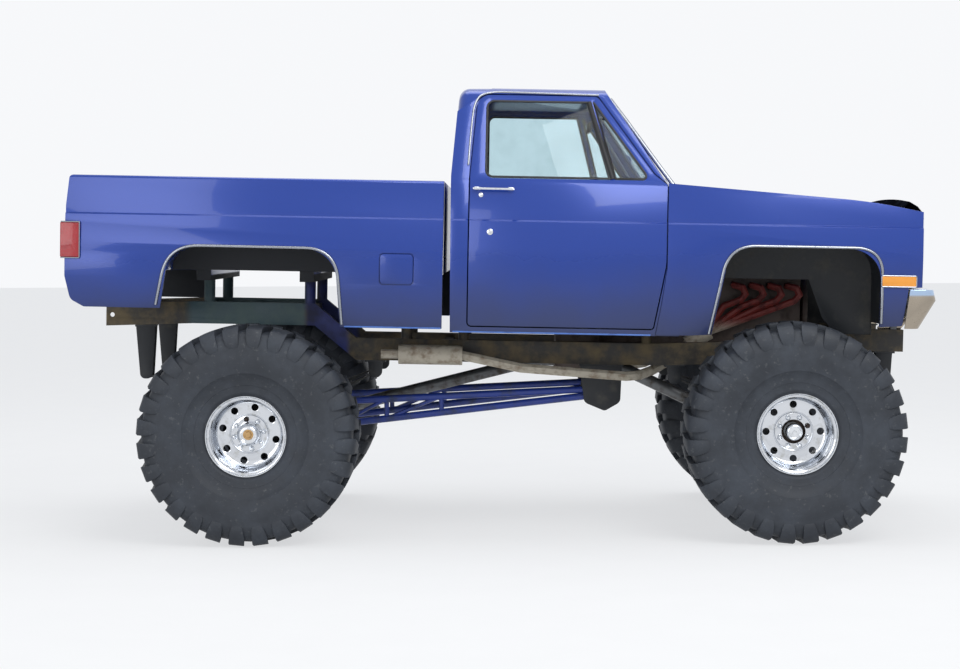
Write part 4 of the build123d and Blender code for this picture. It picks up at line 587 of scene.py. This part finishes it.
CAP_SECTION = ((0.0540, 0.0645), (0.0620, 0.0645), (0.0640, 0.0630), (0.0950, 0.0625), (0.1150, 0.0595),
               (0.1270, 0.0510), (0.1325, 0.0415), (0.1335, 0.0370), (0.1325, 0.0350), (0.1060, 0.0345),
               (0.1050, 0.0000))
PLUG_SECTION = ((0.1050, 0.0300), (0.1080, 0.0290), (0.1085, 0.0190), (0.1180, 0.0175), (0.1200, 0.0150),
                (0.1205, 0.0000))
LOCK_SECTION = ((0.0100, 0.0440), (0.1040, 0.0440), (0.1120, 0.0425), (0.1160, 0.0385), (0.1170, 0.0330),
                (0.1150, 0.0315), (0.1090, 0.0300), (0.1080, 0.0120), (0.1150, 0.0110), (0.1160, 0.0000))
BORE_SECTION = ((0.0560, 0.0640), (0.0570, 0.0655), (0.0550, 0.0665), (0.0200, 0.0660), (0.0110, 0.0650),
                (0.0110, 0.0000))
for section, steps, name, slot, finish, end in (
    (CAP_SECTION, 64, "hub_cap", "chrome_steel", chrome, "rear"),
    (PLUG_SECTION, 12, "hub_plug", "bare_steel", brass, "rear"),
    (LOCK_SECTION, 64, "locking_hub", "chrome_steel", chrome, "front"),
    (BORE_SECTION, 64, "hub_bore", "bare_steel", dark_steel_and_bore_shade, "front"),
):
    spins = {wheel: spin for wheel, spin in SPINS.items() if end in wheel}
    on_wheels(smoothed(spun(section, steps)), name, slot, finish, spins)

# Cab, doors, bed, fenders and hood: pressed steel panels in a deep blue enamel with a fine
# metal flake, welded and bolted together with even gaps, greyed by dust and darkened low down by a
# painted reflection of the shaded ground, and dark on what is hidden, as undercoat and painted shade.
RAKE = math.radians(1.36)
RAKE_PIVOT = Matrix.Translation((0, 0, 1.2))
TIP = RAKE_PIVOT @ Matrix.Rotation(RAKE, 4, "Y") @ RAKE_PIVOT.inverted()
INNER_PANEL_TOP = 1.7


def enamel(name, side_sign, all_below, sides_below, undersides_below):
    """Deep blue enamel under lacquer, dusty and darkened low down by a painted reflection of the
    shaded ground, with dark undercoat, which is also painted shade, where it is hidden.

    Undercoat and painted shade cover all that lies below the first height, what faces out
    (side_sign 1) or in (side_sign -1) below the second, and what faces down below the third.
    """
    finish = Finish(name, IOR=1.5, Coat_Roughness=0.04)
    height = finish.along("Z")
    # dust greys the paint and darkens it towards the bottom, partly dust and partly a painted reflection of
    # the shaded ground
    dust = finish.band(1.60 - height + finish.noise(3, 5) * 0.2, 0.05, 0.62)
    deep = finish.colours(finish.noise(900, 2), tint(7, 42, 124), tint(14, 64, 162))
    dust_and_ground_reflection = finish.colours(dust * 0.8, deep, tint(44, 50, 72))
    sideways = finish.band(finish.facing("Y") * finish.along("Y") * side_sign, 0.2, 0.4)
    downwards = finish.band(-1.0 * finish.facing("Z"), 0.25, 0.5)
    # Dark undercoat that is also painted shade: all below one height, inward or outward faces below
    # another, downward faces below a third
    undercoat_and_shade = finish.band(all_below - height, 0.0, 0.01)
    for turned, limit in ((sideways, sides_below), (downwards, undersides_below)):
        undercoat_and_shade = undercoat_and_shade.maths("MAXIMUM", undercoat_and_shade, turned * finish.band(limit - height, 0.0, 0.03))
    # The undercoat colour here is partly real undercoat and partly painted shade under and inside the body
    finish.feed("Base Color", finish.colours(undercoat_and_shade, dust_and_ground_reflection, tint(40, 42, 46)))
    finish.feed("Roughness", 0.26 + dust * 0.2 + undercoat_and_shade * 0.5)
    finish.feed("Metallic", 0.25 - undercoat_and_shade * 0.25)
    finish.feed("Coat Weight", 0.4 - undercoat_and_shade * 0.4)
    finish.bump(finish.noise(45, 2), 0.0004, 0.1)
    return finish


def apart(piece):
    """The loose parts of a piece, each an object of its own."""
    alone(piece)
    bpy.ops.mesh.separate(type="LOOSE")
    return list(bpy.context.selected_objects)


body_paint = enamel("body_paint", -1.0, 0.0, 1.5, 1.56)
bed_paint = enamel("bed_paint", 1.0, 1.475, 1.75, 1.75)
for node in ("door_left", "door_right", "bed_side_left", "bed_side_right", "tailgate", "fuel_door", "hood"):
    dressed(node, "truck" if node.startswith("bed") else node, "body_paint", body_paint, 0.003)
dressed("bed_floor", "truck", "bed_paint", bed_paint)
ROOF_HALF_SECTION = (
    (0.8125, 2.340), (0.757, 2.466), (0.752, 2.473), (0.746, 2.479), (0.737, 2.484), (0.722, 2.491),
    (0.712, 2.495), (0.701, 2.498), (0.686, 2.502), (0.671, 2.504), (0.656, 2.506), (0.0, 2.542),
)
ROOF_HALF, ROOF_TOP, ROOF_WAIST = 0.8, 2.542, 2.1
ROOF_EDGE_ROUND, ROUND_PARTS, ROOF_SINK = 0.055, 6, 0.005
CAB_REAR, BACK_SLANT = -0.269, 0.0714
BACK_CUT, BACK_CUT_WAY = (-0.282, 0, 2.364), (-0.585, 0, 0.811)


def roof_rear():
    """The roof's rounded rear edge over the back window, pressed in one with the back panel."""
    other_side = [(-y, z) for y, z in reversed(ROOF_HALF_SECTION[:-1])]
    traced([(CAB_REAR, y, z) for y, z in (*ROOF_HALF_SECTION, *other_side)])
    bpy.ops.mesh.edge_face_add()
    rise, drop, turn = ROOF_TOP - ROOF_WAIST, 0.0, 0.0
    for step in range(ROUND_PARTS + 1):
        if step:
            before, turn = turn, math.pi / 2 * step / ROUND_PARTS
            ahead = ROOF_EDGE_ROUND * (math.cos(before) - math.cos(turn))
            bpy.ops.mesh.extrude_region_move(TRANSFORM_OT_translate={"value": (ahead, 0, 0)})
        next_drop = ROOF_EDGE_ROUND * (1 - math.sin(turn))
        growth = (1, (ROOF_HALF - next_drop) / (ROOF_HALF - drop), (rise - next_drop) / (rise - drop))
        bpy.ops.transform.resize(value=growth, center_override=(0, 0, ROOF_WAIST))
        drop = next_drop
    bpy.ops.mesh.extrude_region_move(TRANSFORM_OT_translate={"value": (0.26, 0, 0)})
    piece = shut()
    for corner in piece.data.vertices:
        if corner.co.x < 0:
            corner.co.x -= (ROOF_TOP - corner.co.z) * BACK_SLANT
            corner.co.z -= ROOF_SINK
    bpy.ops.object.mode_set(mode="EDIT")
    bpy.ops.mesh.select_all(action="SELECT")
    bpy.ops.mesh.bisect(plane_co=BACK_CUT, plane_no=BACK_CUT_WAY, clear_inner=True, use_fill=True)
    bpy.ops.object.mode_set(mode="OBJECT")
    return piece


cab = eased(copied("cab_shell"), 0.003)
cab = smoothed(joined(placed(roof_rear(), TIP), cab))
finished(cab, "dressed_cab_shell", "truck", "body_paint", body_paint, ["cab_shell"])
for side in SIDES:
    for part in apart(copied(f"fender_{side}")):
        inner = max(corner.co.z for corner in part.data.vertices) < INNER_PANEL_TOP
        name = f"inner_fender_{side}" if inner else f"outer_fender_{side}"
        look = ("chassis_black", chassis_black) if inner else ("body_paint", body_paint)
        finished(smoothed(eased(part, 0.002)), name, "truck", *look, [f"fender_{side}"])

# Mouldings: thin strips of bright metal clipped round both wheel arches, along the drip rail over
# the door and up the screen's pillars, and the folded lips of the sills below cab and bed, in a
# lighter blue that is a painted highlight of the sky on them. Each follows the panel that it lies on.
OUTSIDE_Y = 1.4
ARCH_BEAD, DRIP_BEAD, LIP_BEAD, SCREEN_BEAD = 0.009, 0.006, 0.005, 0.013


def laid(line, panel, way, lift=0.0):
    """The line tipped with the body and moved sideways on to the outside of a panel."""
    corners = [panel.matrix_world @ corner.co for corner in panel.data.vertices]
    surface = BVHTree.FromPolygons(corners, [face.vertices for face in panel.data.polygons])
    placed_line = []
    for point in line:
        here = TIP @ Vector(point)
        spot = surface.ray_cast(Vector((here.x, way * OUTSIDE_Y, here.z)), Vector((0, -way, 0)))[0]
        if spot:
            here.y = spot.y + way * lift
            placed_line.append(here)
    return placed_line


def spaced(line, gap):
    """The line with points added so that none are further apart than gap."""
    closer = [Vector(line[0])]
    for start, end in zip(line, line[1:]):
        start, end = Vector(start), Vector(end)
        parts = max(1, math.ceil((end - start).length / gap))
        closer += [start.lerp(end, (i + 1) / parts) for i in range(parts)]
    return closer


bright_trim = cast_bright("bright_trim", tint(158, 162, 170), 0.24)
FRONT_ARCH = ((1.120, 0, 1.165), (1.216, 0, 1.650), (2.054, 0, 1.650), (2.057, 0, 1.240))
REAR_ARCH = ((-1.914, 0, 1.270), (-1.848, 0, 1.598), (-0.928, 0, 1.594), (-0.894, 0, 1.180))
DRIP_RAIL = ((-0.214, 0, 2.065), (-0.203, 0, 2.278), (-0.186, 0, 2.440), (-0.110, 0, 2.480),
             (0.500, 0, 2.470))
SILL_LIPS = (("cab_shell", ((-0.285, 0, 1.152), (0.800, 0, 1.152))),
             ("bed_side", ((-0.880, 0, 1.168), (-0.350, 0, 1.168))))
# The sill lips' lighter blue is a painted highlight: the sky's reflection on the folded lip, painted as
# colour
lip_sky_highlight = painted("lip_sky_highlight", tint(72, 112, 186), tint(56, 88, 156), 0.3)
SCREEN_EDGE = ((0.566, 0.700, 2.452), (0.648, 0.748, 2.342), (0.850, 0.868, 2.061), (0.913, 0.892, 1.979))
for side, way in SIDES.items():
    for name, corners, node, radius in (
        ("front_arch", FRONT_ARCH, f"fender_{side}", 0.15),
        ("rear_arch", REAR_ARCH, f"bed_side_{side}", 0.17),
    ):
        line = laid(spaced(rounded(corners, radius, steps=12), 0.06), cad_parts[node], way, 0.001)
        finished(tube(line, ARCH_BEAD), f"{name}_moulding_{side}", "truck", "bright_trim", bright_trim)
    line = laid(spaced(rounded(DRIP_RAIL, 0.09, steps=8), 0.05), cab, way, 0.002)
    finished(tube(line, DRIP_BEAD), f"drip_moulding_{side}", "truck", "bright_trim", bright_trim)
    for node, ends in SILL_LIPS:
        panel = cab if node == "cab_shell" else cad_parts[f"{node}_{side}"]
        lip = tube(laid(spaced(ends, 0.1), panel, way, -0.001), LIP_BEAD)
        finished(lip, f"{node}_lip_{side}", "truck", "body_paint", lip_sky_highlight)
    pillar = [TIP @ Vector((x, way * y, z)) for x, y, z in spaced(SCREEN_EDGE, 0.1)]
    finished(tube(pillar, SCREEN_BEAD), f"screen_moulding_{side}", "truck", "bright_trim", bright_trim)

# Glass: one bowed screen, a back window and two panes in each door, of toughened glass held in
# black rubber that is pressed round their edges, with a black bar between a door's two panes.
GASKET_STAND = 0.001


def glass():
    """Clear glass under a thin film, its index set low so that the cabin shows as through a pane."""
    finish = Finish("window_glass", IOR=1.22, Transmission_Weight=1.0)
    film = finish.band(finish.noise(6, 5), 0.4, 0.8)
    finish.feed("Base Color", finish.colours(film, tint(222, 238, 242), tint(212, 228, 232)))
    finish.feed("Roughness", 0.0 + film * 0.02)
    return finish


def black_rubber():
    """Black weather strip, greyed where it has aged."""
    finish = Finish("rubber_trim")
    aged = finish.band(finish.noise(70, 5), 0.45, 0.7)
    finish.feed("Base Color", finish.colours(aged, tint(15, 17, 22), tint(34, 36, 42)))
    finish.feed("Roughness", 0.5 + aged * 0.25)
    finish.bump(finish.noise(400, 2), 0.0003, 0.3)
    return finish


def picked(piece, test):
    """Opens a piece for editing with only the faces that pass a test selected."""
    alone(piece)
    bpy.ops.object.mode_set(mode="EDIT")
    bpy.ops.mesh.select_mode(type="FACE")
    bpy.ops.mesh.select_all(action="DESELECT")
    bpy.ops.object.mode_set(mode="OBJECT")
    for face in piece.data.polygons:
        face.select = test(face)
    bpy.ops.object.mode_set(mode="EDIT")


def gasket(pane, outwards, width):
    """A frame cut from the rim of a pane's outer face and given a thickness."""
    outwards = Vector(outwards)
    picked(pane, lambda face: face.normal.dot(outwards) < 0.5)
    bpy.ops.mesh.delete(type="FACE")
    bpy.ops.mesh.select_all(action="SELECT")
    bpy.ops.transform.translate(value=outwards * GASKET_STAND)
    bpy.ops.mesh.inset(thickness=width, use_boundary=True)
    bpy.ops.mesh.delete(type="FACE")
    bpy.ops.object.mode_set(mode="OBJECT")
    fitted(pane, "SOLIDIFY", thickness=0.008, offset=1.0)
    return smoothed(eased(pane, 0.002, sharp=0.9), 40)


window_glass = glass()
rubber_trim = black_rubber()
for pane in apart(copied("cab_glass")):
    rear = sum(corner.co.x for corner in pane.data.vertices) / len(pane.data.vertices) < 0
    outwards = (-1, 0, 0) if rear else (0.83, 0, 0.56)
    name = "back_window_rubber" if rear else "screen_rubber"
    finished(gasket(pane, outwards, 0.016), name, "truck", "rubber_trim", rubber_trim)
dressed("cab_glass", "truck", "window_glass", window_glass, 0)
for side, way in SIDES.items():
    for i, pane in enumerate(apart(copied(f"door_glass_{side}"))):
        name = f"door_rubber_{side}_{i}"
        finished(gasket(pane, (0, way, 0.1), 0.012), name, f"door_{side}", "rubber_trim", rubber_trim)
    dressed(f"door_glass_{side}", f"door_{side}", "window_glass", window_glass, 0)
VENT_BAR = ((0.578, 0, 1.998), (0.446, 0, 2.428))
for side, way in SIDES.items():
    bar = tube(laid(spaced(VENT_BAR, 0.05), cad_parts[f"door_{side}"], way, -0.006), 0.015)
    finished(bar, f"vent_bar_{side}", f"door_{side}", "rubber_trim", rubber_trim)

# Door furniture: on each door a chromed pull handle with its push button over a lock, and a
# bright blanking plug; on the left door only, a mirror glass in the painted mirror head.
HANDLE_Z = 1.937


def tipped(piece):
    """Tips a piece drawn in the level body as the body sits."""
    return placed(smoothed(piece), TIP)


def mirrored(piece, way):
    return placed(piece, Matrix.Scale(way, 4, (0, 1, 0))) if way < 0 else piece


def knob(section, steps, x, z):
    """A spun piece whose axis lies across the body, put at its place."""
    return placed(smoothed(spun(section, steps)), Matrix.Translation((x, 0, z)))


def skin(x, z):
    """How far out the left door's skin lies at a place on the level body."""
    return laid([(x, 0, z)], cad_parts["door_left"], 1)[0].y


def stud(radius, height, x, z):
    """A round, slightly domed stud that stands on the door's skin."""
    section = ((-0.008, radius), (height * 0.6, radius), (height, radius * 0.7), (height + 0.001, 0))
    return knob([(skin(x, z) + y, reach) for y, reach in section], 24, x, z)


for side, way in SIDES.items():
    out = skin(-0.07, HANDLE_Z)
    grip = slab((-0.186, out + 0.016, 1.931), (0.040, out + 0.026, 1.942), 0.003)
    picked(grip, lambda face: face.normal.y > 0.7)
    bpy.ops.mesh.inset(thickness=0.003)
    bpy.ops.transform.translate(value=(0, -0.002, 0))
    bpy.ops.object.mode_set(mode="OBJECT")
    feet = [slab((x, out - 0.008, 1.929), (x + 0.03, out + 0.022, 1.946), 0.004) for x in (-0.180, 0.006)]
    button = stud(0.0105, 0.034, -0.148, HANDLE_Z)
    lock = stud(0.0125, 0.006, -0.142, 1.902)
    plug = stud(0.0165, 0.005, -0.089, 1.701)
    furniture = tipped(mirrored(joined(*feet, button, lock, plug, grip), way))
    finished(furniture, f"door_furniture_{side}", f"door_{side}", "chrome_steel", chrome)
mirror_glass = slab((0.6985, 1.010, 2.121), (0.7030, 1.124, 2.216), 0.002)
finished(tipped(mirror_glass), "mirror_glass", "door_left", "chrome_steel", chrome)

# Lamps: red tail lamps and amber markers in bright frames, and two rectangular sealed beams in
# each headlamp bay, their lenses pressed with fine flutes.


def lens_finish(name, colour, deep, flutes):
    """Clear or tinted plastic over a pressed reflector, with fine upright flutes."""
    finish = Finish(name, IOR=1.5, Coat_Weight=0.6)
    wave = finish.node(
        "ShaderNodeTexWave", {"bands_direction": flutes},
        {"Vector": finish.place, "Scale": 60, "Distortion": 0.2}, "Fac",
    )
    soil = finish.band(finish.noise(16, 4), 0.5, 0.8)
    finish.feed("Base Color", finish.colours(wave * 0.5 + soil * 0.3, colour, deep))
    finish.feed("Roughness", 0.08 + soil * 0.2)
    finish.bump(wave, 0.0008, 0.5)
    return finish


red_lens = lens_finish("red_lens", tint(170, 16, 30), tint(112, 10, 20), "Z")
amber_lens = lens_finish("amber_lens", tint(240, 160, 52), tint(206, 120, 30), "X")
front_lens = lens_finish("front_lens", tint(222, 224, 224), tint(150, 154, 160), "Y")
for part in apart(copied("tail_lamps")):
    eased(part, 0.006, 3)
    side = "left" if part.data.vertices[0].co.y > 0 else "right"
    finished(smoothed(part), f"tail_lens_{side}", "truck", "red_lens", red_lens, ["tail_lamps"])
for i, part in enumerate(apart(copied("front_lamps"))):
    is_marker = abs(part.data.vertices[0].co.y) > 0.99
    eased(part, 0.003, 3)
    name = f"marker_lens_{i}" if is_marker else f"headlamp_{i}"
    look = ("amber_lens", amber_lens) if is_marker else ("front_lens", front_lens)
    finished(smoothed(part), name, "truck", *look, ["front_lamps"])
TAIL_FACE = -2.4320
TAIL_FRAME = ((-2.330, 1.0165, 1.716), (TAIL_FACE, 1.0165, 1.716), (TAIL_FACE, 0.847, 1.716),
              (TAIL_FACE, 0.847, 1.519), (TAIL_FACE, 1.0165, 1.519), (-2.330, 1.0165, 1.519))
MARKER_FRAME = ((2.050, 1.0135, 1.502), (2.240, 1.0135, 1.502), (2.240, 1.0135, 1.442),
                (2.050, 1.0135, 1.442))
for side, way in SIDES.items():
    for name, frame_line in (("tail_lamp", TAIL_FRAME), ("marker", MARKER_FRAME)):
        frame_bar = tube(rounded(frame_line, 0.008, closed=True, steps=4), 0.0035, closed=True)
        frame_bar = tipped(mirrored(frame_bar, way))
        finished(frame_bar, f"{name}_frame_{side}", "truck", "bright_trim", bright_trim)

# Front: a chromed steel bumper that wraps round the corners on domed bolts, a plastic grille with
# a bright surround in front of a black radiator, and a smoked deflector on the hood's edge.


def bumper_chrome():
    """Old chrome: a clear blue band of painted sky reflection along the top edge, and a warm grey face."""
    finish = Finish("bumper_chrome", Metallic=1.0)
    pitted = finish.band(finish.noise(120, 4), 0.55, 0.8)
    # A painted reflection: the band along the top edge is coloured sky blue, as the sky would show in it
    sky_reflection_band = finish.band(finish.along("Z"), 1.335, 1.35)
    face = finish.colours(sky_reflection_band, tint(166, 156, 142), tint(176, 198, 226))
    finish.feed("Base Color", finish.colours(pitted * 0.4, face, tint(110, 100, 88)))
    finish.feed("Roughness", 0.22 - sky_reflection_band * 0.12 + pitted * 0.2)
    finish.bump(finish.noise(220, 2), 0.0002, 0.2)
    return finish


smoked = painted("smoked_plastic", tint(9, 10, 14), tint(20, 23, 30), 0.3)
smoked.shader.inputs["Specular IOR Level"].default_value = 0.0
grille_plastic = painted("grille_plastic", tint(96, 98, 104), tint(66, 68, 72), 0.35)
radiator_core = painted("radiator_core", tint(34, 34, 34), tint(54, 50, 44), 0.7, 60)
dressed("front_bumper", "truck", "chrome_steel", bumper_chrome(), 0.003)
dressed("grille", "truck", "grille_plastic", grille_plastic, 0.001)
dressed("radiator", "truck", "radiator_core", radiator_core, 0.002)
dressed("bug_deflector", "hood", "smoked_plastic", smoked, 0.001)
GRILLE_FACE = 2.260
outer = ((GRILLE_FACE, 0.950, 1.467), (GRILLE_FACE, 0.950, 1.810), (GRILLE_FACE, -0.950, 1.810),
         (GRILLE_FACE, -0.950, 1.467))
surround = [tube(rounded(outer, 0.02, closed=True), 0.010, closed=True)]
for way in SIDES.values():
    for low, high in ((1.558, 1.672), (1.678, 1.789)):
        corners = ((0.722, low), (0.722, high), (0.926, high), (0.926, low))
        beam = [(GRILLE_FACE - 0.008, way * y, z) for y, z in corners]
        surround.append(tube(rounded(beam, 0.014, closed=True, steps=4), 0.005, closed=True))
finished(tipped(joined(*surround)), "grille_surround", "truck", "bright_trim", bright_trim)
BOLT_DOME = ((-0.004, 0.013), (0.002, 0.013), (0.006, 0.009), (0.0075, 0.004), (0.008, 0))
dome = placed(spun(BOLT_DOME, 16), Matrix.Rotation(-math.pi / 2, 4, "Z"))
BUMPER_FACE, BOLT_HEIGHT = 2.4190, 1.3715
spots = [
    Matrix.Translation((BUMPER_FACE - 0.05 * (y / 0.7) ** 4, way * y, BOLT_HEIGHT))
    for y in (0.38, 0.72) for way in (1, -1)
]
finished(tipped(repeated(dome, spots)), "bumper_bolts", "truck", "chrome_steel", chrome)

# Bench seat: foam under grey-blue cloth, a cushion and a backrest sewn in upright channels across
# the middle, on a low moulded base whose feet are bolted to the floor.
SEAT_HALF = 0.715
CHANNEL, CHANNEL_DEPTH, CHANNELS_END = 0.085, 0.007, 0.63
PAD_VOXEL, PRESSURE, SETTLE_FRAMES, SWELL_CAP = 0.013, 4, 20, 0.022


def seat_fabric():
    """Woven cloth: a fine basket weave, faded in patches."""
    finish = Finish("seat_cloth", Sheen_Weight=0.3)
    weave = 0.5
    for direction in ("X", "Y", "Z"):
        thread = finish.node(
            "ShaderNodeTexWave", {"bands_direction": direction},
            {"Vector": finish.place, "Scale": 220, "Distortion": 0.6, "Detail": 1.0}, "Fac",
        )
        weave = thread * 0.33 + weave
    faded = finish.band(finish.noise(7, 5), 0.4, 0.75)
    finish.feed("Base Color", finish.colours(faded, tint(54, 62, 86), tint(82, 88, 104)))
    finish.feed("Roughness", 0.85 + faded * 0.1)
    finish.bump(weave, 0.0008, 0.6)
    return finish


def blown(piece):
    """Swells a closed form as cloth over foam, with no point moving further than SWELL_CAP."""
    fitted(piece, "REMESH", mode="VOXEL", voxel_size=PAD_VOXEL)
    start = [corner.co.copy() for corner in piece.data.vertices]
    alone(piece)
    cloth = piece.modifiers.new("cloth", "CLOTH")
    cloth.settings.use_pressure = True
    cloth.settings.uniform_pressure_force = PRESSURE
    cloth.settings.effector_weights.gravity = 0
    for step in range(1, SETTLE_FRAMES + 1):
        bpy.context.scene.frame_set(step)
    swollen = piece.evaluated_get(bpy.context.evaluated_depsgraph_get()).data
    ends = [corner.co.copy() for corner in swollen.vertices]
    piece.modifiers.clear()
    bpy.context.scene.frame_set(1)
    for corner, first, last in zip(piece.data.vertices, start, ends):
        move = last - first
        corner.co = first + move * min(1, SWELL_CAP / max(move.length, 0.0001))
    return fitted(piece, "SUBSURF", levels=1, render_levels=1)


def channelled(piece, axis, face_from, face_to):
    """Presses sewn channels into the side of a pad that faces along an axis."""
    for corner in piece.data.vertices:
        y = corner.co.y
        if abs(y) > CHANNELS_END or not face_from < corner.co[axis] < face_to:
            continue
        gap = abs(y / CHANNEL - round(y / CHANNEL)) * CHANNEL
        corner.co[axis] -= CHANNEL_DEPTH * math.exp(-((gap / CHANNEL_DEPTH) ** 2))
    return piece


seat_cloth = seat_fabric()
cushion = slab((-0.050, -SEAT_HALF + 0.012, 1.348), (0.386, SEAT_HALF - 0.012, 1.468), 0.040)
backrest = slab((-0.200, -SEAT_HALF + 0.012, 1.452), (-0.100, SEAT_HALF - 0.012, 1.915), 0.040)
for corner in backrest.data.vertices:
    corner.co.x -= (corner.co.z - 1.452) * 0.045
cushion = channelled(blown(cushion), 2, 1.440, 1.600)
backrest = channelled(blown(backrest), 0, -0.170, 0.100)
for pad, name in ((cushion, "seat_cushion"), (backrest, "seat_backrest")):
    finished(tipped(pad), name, "truck", "seat_cloth", seat_cloth, ["bench_seat"])
cabin_plastic = painted("cabin_plastic", tint(38, 48, 84), tint(56, 62, 84), 0.5)
seat_base = [slab((-0.190, -0.68, 1.195), (0.352, 0.68, 1.345), 0.012)]
seat_base += [slab((x, way * 0.60 - 0.02, 1.193), (x + 0.05, way * 0.60 + 0.02, 1.205), 0.003)
              for x in (-0.22, 0.34) for way in (1, -1)]
finished(tipped(joined(*seat_base)), "seat_base", "truck", "cabin_plastic", cabin_plastic, ["bench_seat"])

# Cabin: a padded dashboard with a round-rimmed wheel on its column and two dials in black rings,
# a moulded trim panel with an armrest and a winder on each door, and a mirror over the screen.
dressed("dashboard", "truck", "cabin_plastic", cabin_plastic, 0.003)
dials = []
for y in (0.30, 0.44):
    bezel = spun(((0.0, 0.052), (0.012, 0.050), (0.012, 0.046), (0.004, 0.044), (0.004, 0)), 40)
    place = Matrix.Translation((0.704, y, 1.835)) @ Matrix.Rotation(math.pi / 2, 4, "Z")
    dials.append(placed(bezel, place))
finished(tipped(joined(*dials)), "dash_dials", "truck", "smoked_plastic", smoked)
for side, way in SIDES.items():
    panel = slab((-0.150, 0.851, 1.260), (0.780, 0.860, 1.930), 0.004)
    picked(panel, lambda face: face.normal.y < -0.9)
    bpy.ops.mesh.inset(thickness=0.05)
    bpy.ops.mesh.inset(thickness=0.006, depth=-0.003)
    bpy.ops.object.mode_set(mode="OBJECT")
    armrest = slab((-0.020, 0.800, 1.620), (0.300, 0.853, 1.675), 0.018)
    winder = knob(((0.852, 0.020), (0.838, 0.019), (0.836, 0)), 24, 0.420, 1.600)
    arm = slab((0.412, 0.834, 1.592), (0.530, 0.842, 1.608), 0.003)
    handle = ((0.842, 0.006), (0.830, 0.010), (0.806, 0.011), (0.800, 0.008), (0.799, 0))
    grip = knob(handle, 20, 0.520, 1.600)
    trim = tipped(mirrored(joined(armrest, winder, arm, grip, panel), way))
    finished(trim, f"door_trim_{side}", f"door_{side}", "cabin_plastic", cabin_plastic)
mirror = slab((0.470, -0.125, 2.300), (0.492, 0.125, 2.362), 0.008)
finished(tipped(mirror), "inside_mirror", "truck", "smoked_plastic", smoked)

# Floor, lamps and camera: a pale floor under soft studio light, seen square from the truck's
# right side at standing height, as in the photograph.
STAGE_WHITE = (0.93, 0.94, 0.96)
STAGE_GLOW = 0.68
PHOTO_WIDTH, FOCAL_PIXELS, FILM_WIDTH = 960, 2050, 36
YAW, PITCH, ROLL = math.radians(0.56), math.radians(87.305), math.radians(-0.31)


def seen_directly(finish):
    """1 for what the camera sees straight, mirrored or through glass, and 0 for the light itself."""
    seen = finish.node("ShaderNodeLightPath", out="Is Camera Ray")
    seen = seen + finish.node("ShaderNodeLightPath", out="Is Glossy Ray")
    seen = seen + finish.node("ShaderNodeLightPath", out="Is Transmission Ray")
    return seen.maths("MINIMUM", seen, 1.0)


def stage_finish():
    """A pale floor that looks white straight on and in polished metal, and keeps its shadow."""
    finish = Finish("stage_floor", Roughness=0.9)
    grain = finish.noise(3, 3)
    finish.feed("Base Color", finish.colours(grain, tint(222, 222, 220), tint(230, 230, 228)))
    glow = finish.tree.nodes.new("ShaderNodeEmission")
    glow.inputs["Color"].default_value = (*STAGE_WHITE, 1)
    mix = finish.tree.nodes.new("ShaderNodeMixShader")
    finish.tree.links.new((seen_directly(finish) * STAGE_GLOW).socket, mix.inputs["Fac"])
    finish.tree.links.new(finish.shader.outputs[0], mix.inputs[1])
    finish.tree.links.new(glow.outputs[0], mix.inputs[2])
    finish.tree.links.new(mix.outputs[0], finish.tree.nodes["Material Output"].inputs[0])
    return finish


bpy.ops.mesh.primitive_plane_add(size=120, location=(0, 0, 0))
floor = bpy.context.object
floor.name = "studio_floor"
floor.data.materials.append(stage_finish().material)


class Studio(Finish):
    """The surrounding light, with the same methods as a finish."""

    def __init__(self):
        self.world = bpy.data.worlds.new("studio")
        self.world.use_nodes = True
        self.tree = self.world.node_tree
        self.shader = self.tree.nodes["Background"]


studio = Studio()
bpy.context.scene.world = studio.world
studio.feed("Color", studio.colours(seen_directly(studio), (0.62, 0.65, 0.70), STAGE_WHITE))
for name, place, size, power in (
    ("key_lamp", (3.5, -7.0, 7.5), 5.0, 420),
    ("side_fill", (-5.0, -8.0, 3.0), 4.0, 120),
    ("top_lamp", (0, 1.0, 8.0), 6.0, 260),
):
    bpy.ops.object.light_add(type="AREA", location=place)
    lamp = bpy.context.object
    lamp.name = name
    lamp.data.size = size
    lamp.data.energy = power
    aim = Vector((0, 0, 1.3)) - Vector(place)
    lamp.rotation_euler = aim.to_track_quat("-Z", "Y").to_euler()

bpy.ops.object.camera_add(location=(-0.025, -12.2, 1.67))
camera = bpy.context.object
camera.name = "photo_camera"
camera.data.sensor_width = FILM_WIDTH
camera.data.lens = FOCAL_PIXELS / PHOTO_WIDTH * FILM_WIDTH
turn = Matrix.Rotation(YAW, 4, "Z") @ Matrix.Rotation(PITCH, 4, "X") @ Matrix.Rotation(ROLL, 4, "Z")
camera.matrix_world = Matrix.Translation(camera.location) @ turn
bpy.context.scene.camera = camera
bpy.context.scene.view_settings.view_transform = "Standard"
